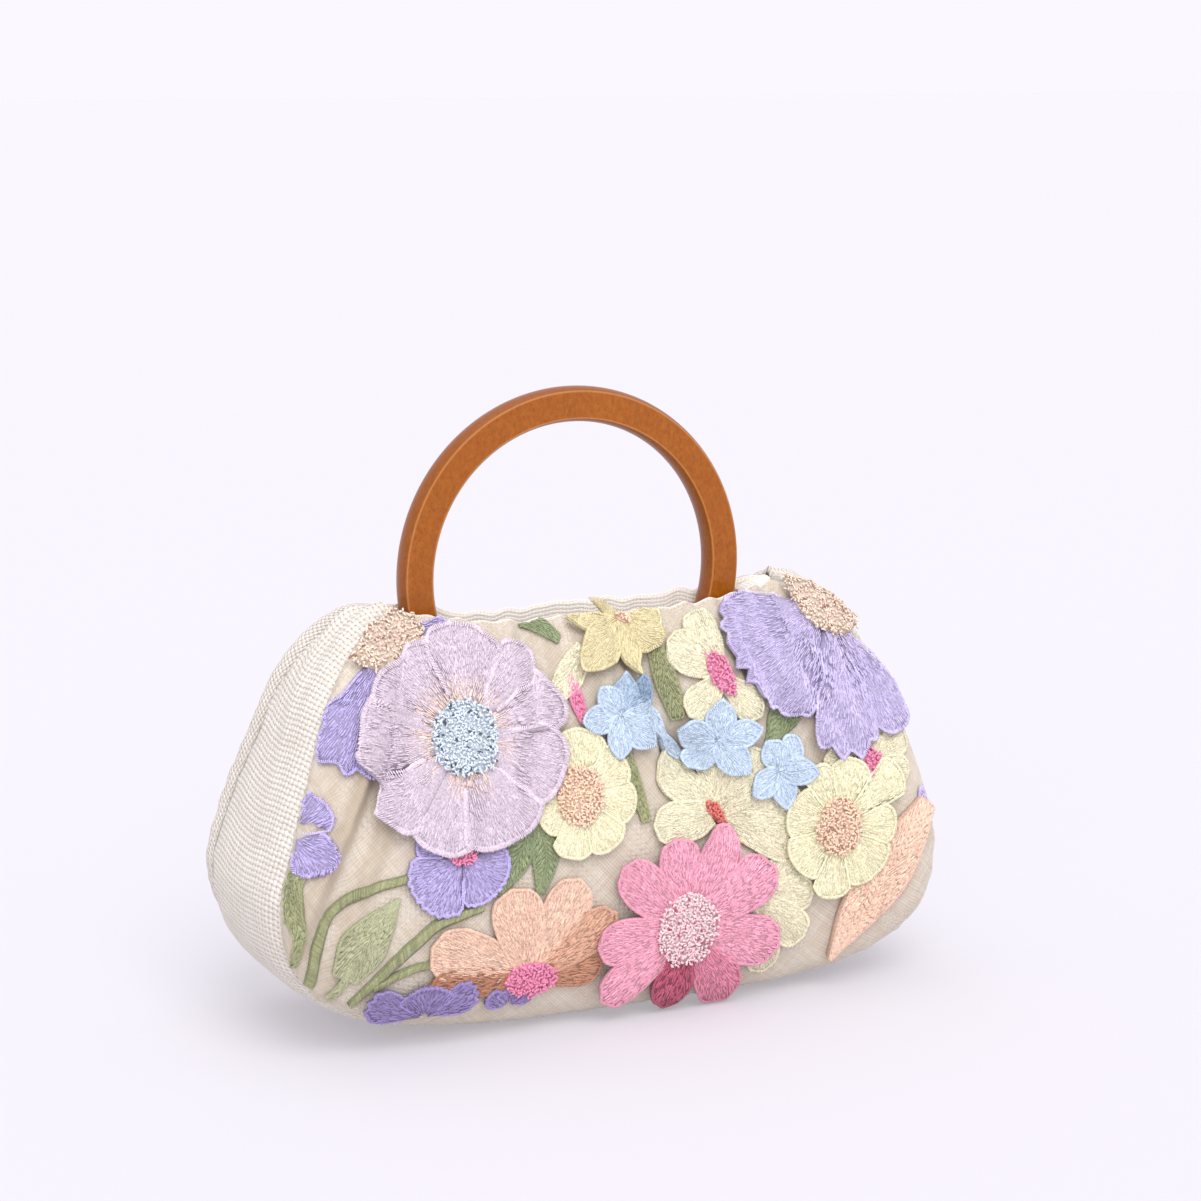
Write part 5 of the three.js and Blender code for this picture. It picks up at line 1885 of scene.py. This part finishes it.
@dataclass
class SeamThread:
    """Small stitches along both seams of the gusset."""

    pitch: float = 3.1
    length: float = 1.9
    sink: float = 0.55
    dye: Colour = dyed(226, 220, 204)

    def make(self) -> None:
        """Builds the stitches of all four seam runs as one piece."""
        points, runs = [], []
        for face in (FRONT, BACK):
            for side in (-1.0, 1.0):
                t = np.linspace(0.35, 9, 400)
                sides = np.full(len(t), side)
                seam = FORM.seam_point(t, sides, face) - FORM.seam_normal(t, sides) * self.sink
                lengths = arc_lengths(seam)
                spots = np.arange(self.pitch / 2, lengths[-1], self.pitch)
                here, ahead, behind = (along_line(seam, lengths, spots + shift) for shift in (0, 1, -1))
                here[:, 2] = np.maximum(here[:, 2], 0.4)
                points.append(here)
                runs.append(ahead - behind)
        points, runs = np.concatenate(points), np.concatenate(runs)
        thing = make_object("seam_stitching", points, [])
        count = len(points)
        sew(thing, np.ones(count, bool), runs, girths(SEAM_THREAD, np.full(count, self.length / 2)),
            np.tile(self.dye, (count, 1)))
        hand_over(thing, None, "cloth")


@dataclass
class SeamAllowance:
    """The folded cloth edges that fill the groove of both seams of the gusset."""

    radius: float = 1.0
    sinks: tuple[float, float] = (2.1, 1.5)
    around: int = 10
    samples: int = 130

    def make(self) -> None:
        """Builds both seams' edges as one piece."""
        t, side = FORM.seam_course(self.samples, self.samples)
        normal = FORM.seam_normal(t, side)
        angle = np.linspace(0, 2 * math.pi, self.around, endpoint=False)
        points, faces, lengths = [], [], []
        for number, (face, sink) in enumerate(zip((FRONT, BACK), self.sinks)):
            middle = FORM.seam_point(t, side, face) - normal * sink
            middle[:, 2] = np.maximum(middle[:, 2], self.radius + 0.1)
            along = unit(np.gradient(middle, axis=0))
            aside = unit(np.cross(along, normal))
            up = np.cross(aside, along)
            ring = np.cos(angle)[None, :, None] * up[:, None] + np.sin(angle)[None, :, None] * aside[:, None]
            tube = middle[:, None] + self.radius * ring
            first, rows = number * len(t) * self.around, len(t)
            faces += grid_faces(rows, self.around, first, around=True)
            faces.append(tuple(range(first, first + self.around)))
            faces.append(tuple(range(first + (rows - 1) * self.around, first + rows * self.around)))
            points.append(tube.reshape(-1, 3))
            cloth = np.meshgrid(self.radius * angle, arc_lengths(middle))
            lengths.append(np.stack(cloth, -1).reshape(-1, 2))
        thing = make_object("seam_allowance", np.concatenate(points), faces, np.concatenate(lengths))
        face_outwards(thing)
        hand_over(thing, Finish.LINEN, "linen")


def dress_loops() -> None:
    """Gives the hidden cloth loops, which keep their CAD shape, the lining's finish."""
    for name in ("handle_loop_left", "handle_loop_right"):
        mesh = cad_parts[name].data
        layer = mesh.uv_layers.get("cloth") or mesh.uv_layers.new(name="cloth")
        for loop in mesh.loops:
            place = mesh.vertices[loop.vertex_index].co / MM
            layer.data[loop.index].uv = (place.x + place.y, place.z)
        mesh.materials.clear()
        mesh.materials.append(Finish.LINING.material())


# ----------------------------------------------------------------------
# The studio


@dataclass
class Studio:
    """A pale floor, soft light and a camera at the photo's angle."""

    azimuth: float = -25.3
    elevation: float = 10.5
    lens: float = 89.93
    from_ring: tuple[float, float, float] = (-384.16, -834.53, 160.62)
    floor_size: float = 30.0
    backdrop: Colour = dyed(251, 248, 255)
    floor_tone: Colour = (0.47, 0.457, 0.485)
    floor_glow: float = 0.28
    sky: float = 0.9
    key: float = 1.5
    top: float = 0.5
    fill: float = 0.7

    def make(self) -> None:
        """Builds the floor, the lights, the world and the camera."""
        scene = bpy.context.scene
        scene.view_settings.view_transform = "Standard"
        material, board, shader = new_material("studio_floor")
        board.feeds(shader, {"Base Color": self.floor_tone, "Roughness": 0.9, "Specular IOR Level": 0.1,
                             "Emission Color": self.backdrop, "Emission Strength": self.floor_glow})
        size = self.floor_size / MM / 2
        corners = np.array([[-size, -size, 0], [size, -size, 0], [size, size, 0], [-size, size, 0]], float)
        floor = make_object("studio_floor", corners, [(0, 1, 2, 3)])
        floor.data.materials.append(material)
        world = bpy.data.worlds.new("studio") if scene.world is None else scene.world
        scene.world = world
        world.use_nodes = True
        sky = Board(world.node_tree)
        seen = sky.node("ShaderNodeLightPath").outputs["Is Camera Ray"]
        sky.feeds(world.node_tree.nodes["Background"],
                  {"Color": self.backdrop, "Strength": sky.remap(seen, 0.0, 1.0, self.sky, 1.0)})
        self.sun("soft_key", (-0.1, -0.8, 1.0), self.key, 40.0)
        self.sun("top_light", (-0.1, 0.1, 1.6), self.top, 60.0)
        self.sun("low_fill", (-0.6, -1.0, 0.3), self.fill, 50.0)
        data = bpy.data.cameras.new("photo_camera")
        data.lens = self.lens
        data.sensor_width = 36.0
        data.clip_end = 50.0
        camera = bpy.data.objects.new("photo_camera", data)
        scene.collection.objects.link(camera)
        centre = np.array(RingHandle().centre) + SHIFT
        camera.location = Vector((centre + np.array(self.from_ring)) * MM)
        camera.rotation_euler = (math.radians(90 - self.elevation), 0, math.radians(self.azimuth))
        scene.camera = camera

    @staticmethod
    def sun(name: str, towards: tuple[float, float, float], strength: float, spread: float) -> None:
        """Adds a soft distant light, from a direction, with its spread in degrees."""
        data = bpy.data.lights.new(name, "SUN")
        data.energy = strength
        data.angle = math.radians(spread)
        lamp = bpy.data.objects.new(name, data)
        bpy.context.scene.collection.objects.link(lamp)
        lamp.rotation_euler = Vector(towards).to_track_quat("Z", "Y").to_euler()


def main() -> None:
    """Builds the bag and its studio, in order."""
    logging.basicConfig(level=logging.INFO, format="%(name)s %(message)s", stream=sys.stdout)
    Studio().make()
    outer, normal = LinenBody().make()
    tulle = TulleOverlay(outer, normal).make()
    embroider(FrontFace(tulle))
    RingHandle().make()
    SeamAllowance().make()
    SeamThread().make()
    dress_loops()
    bpy.context.view_layer.update()


if __name__ == "__main__":
    main()
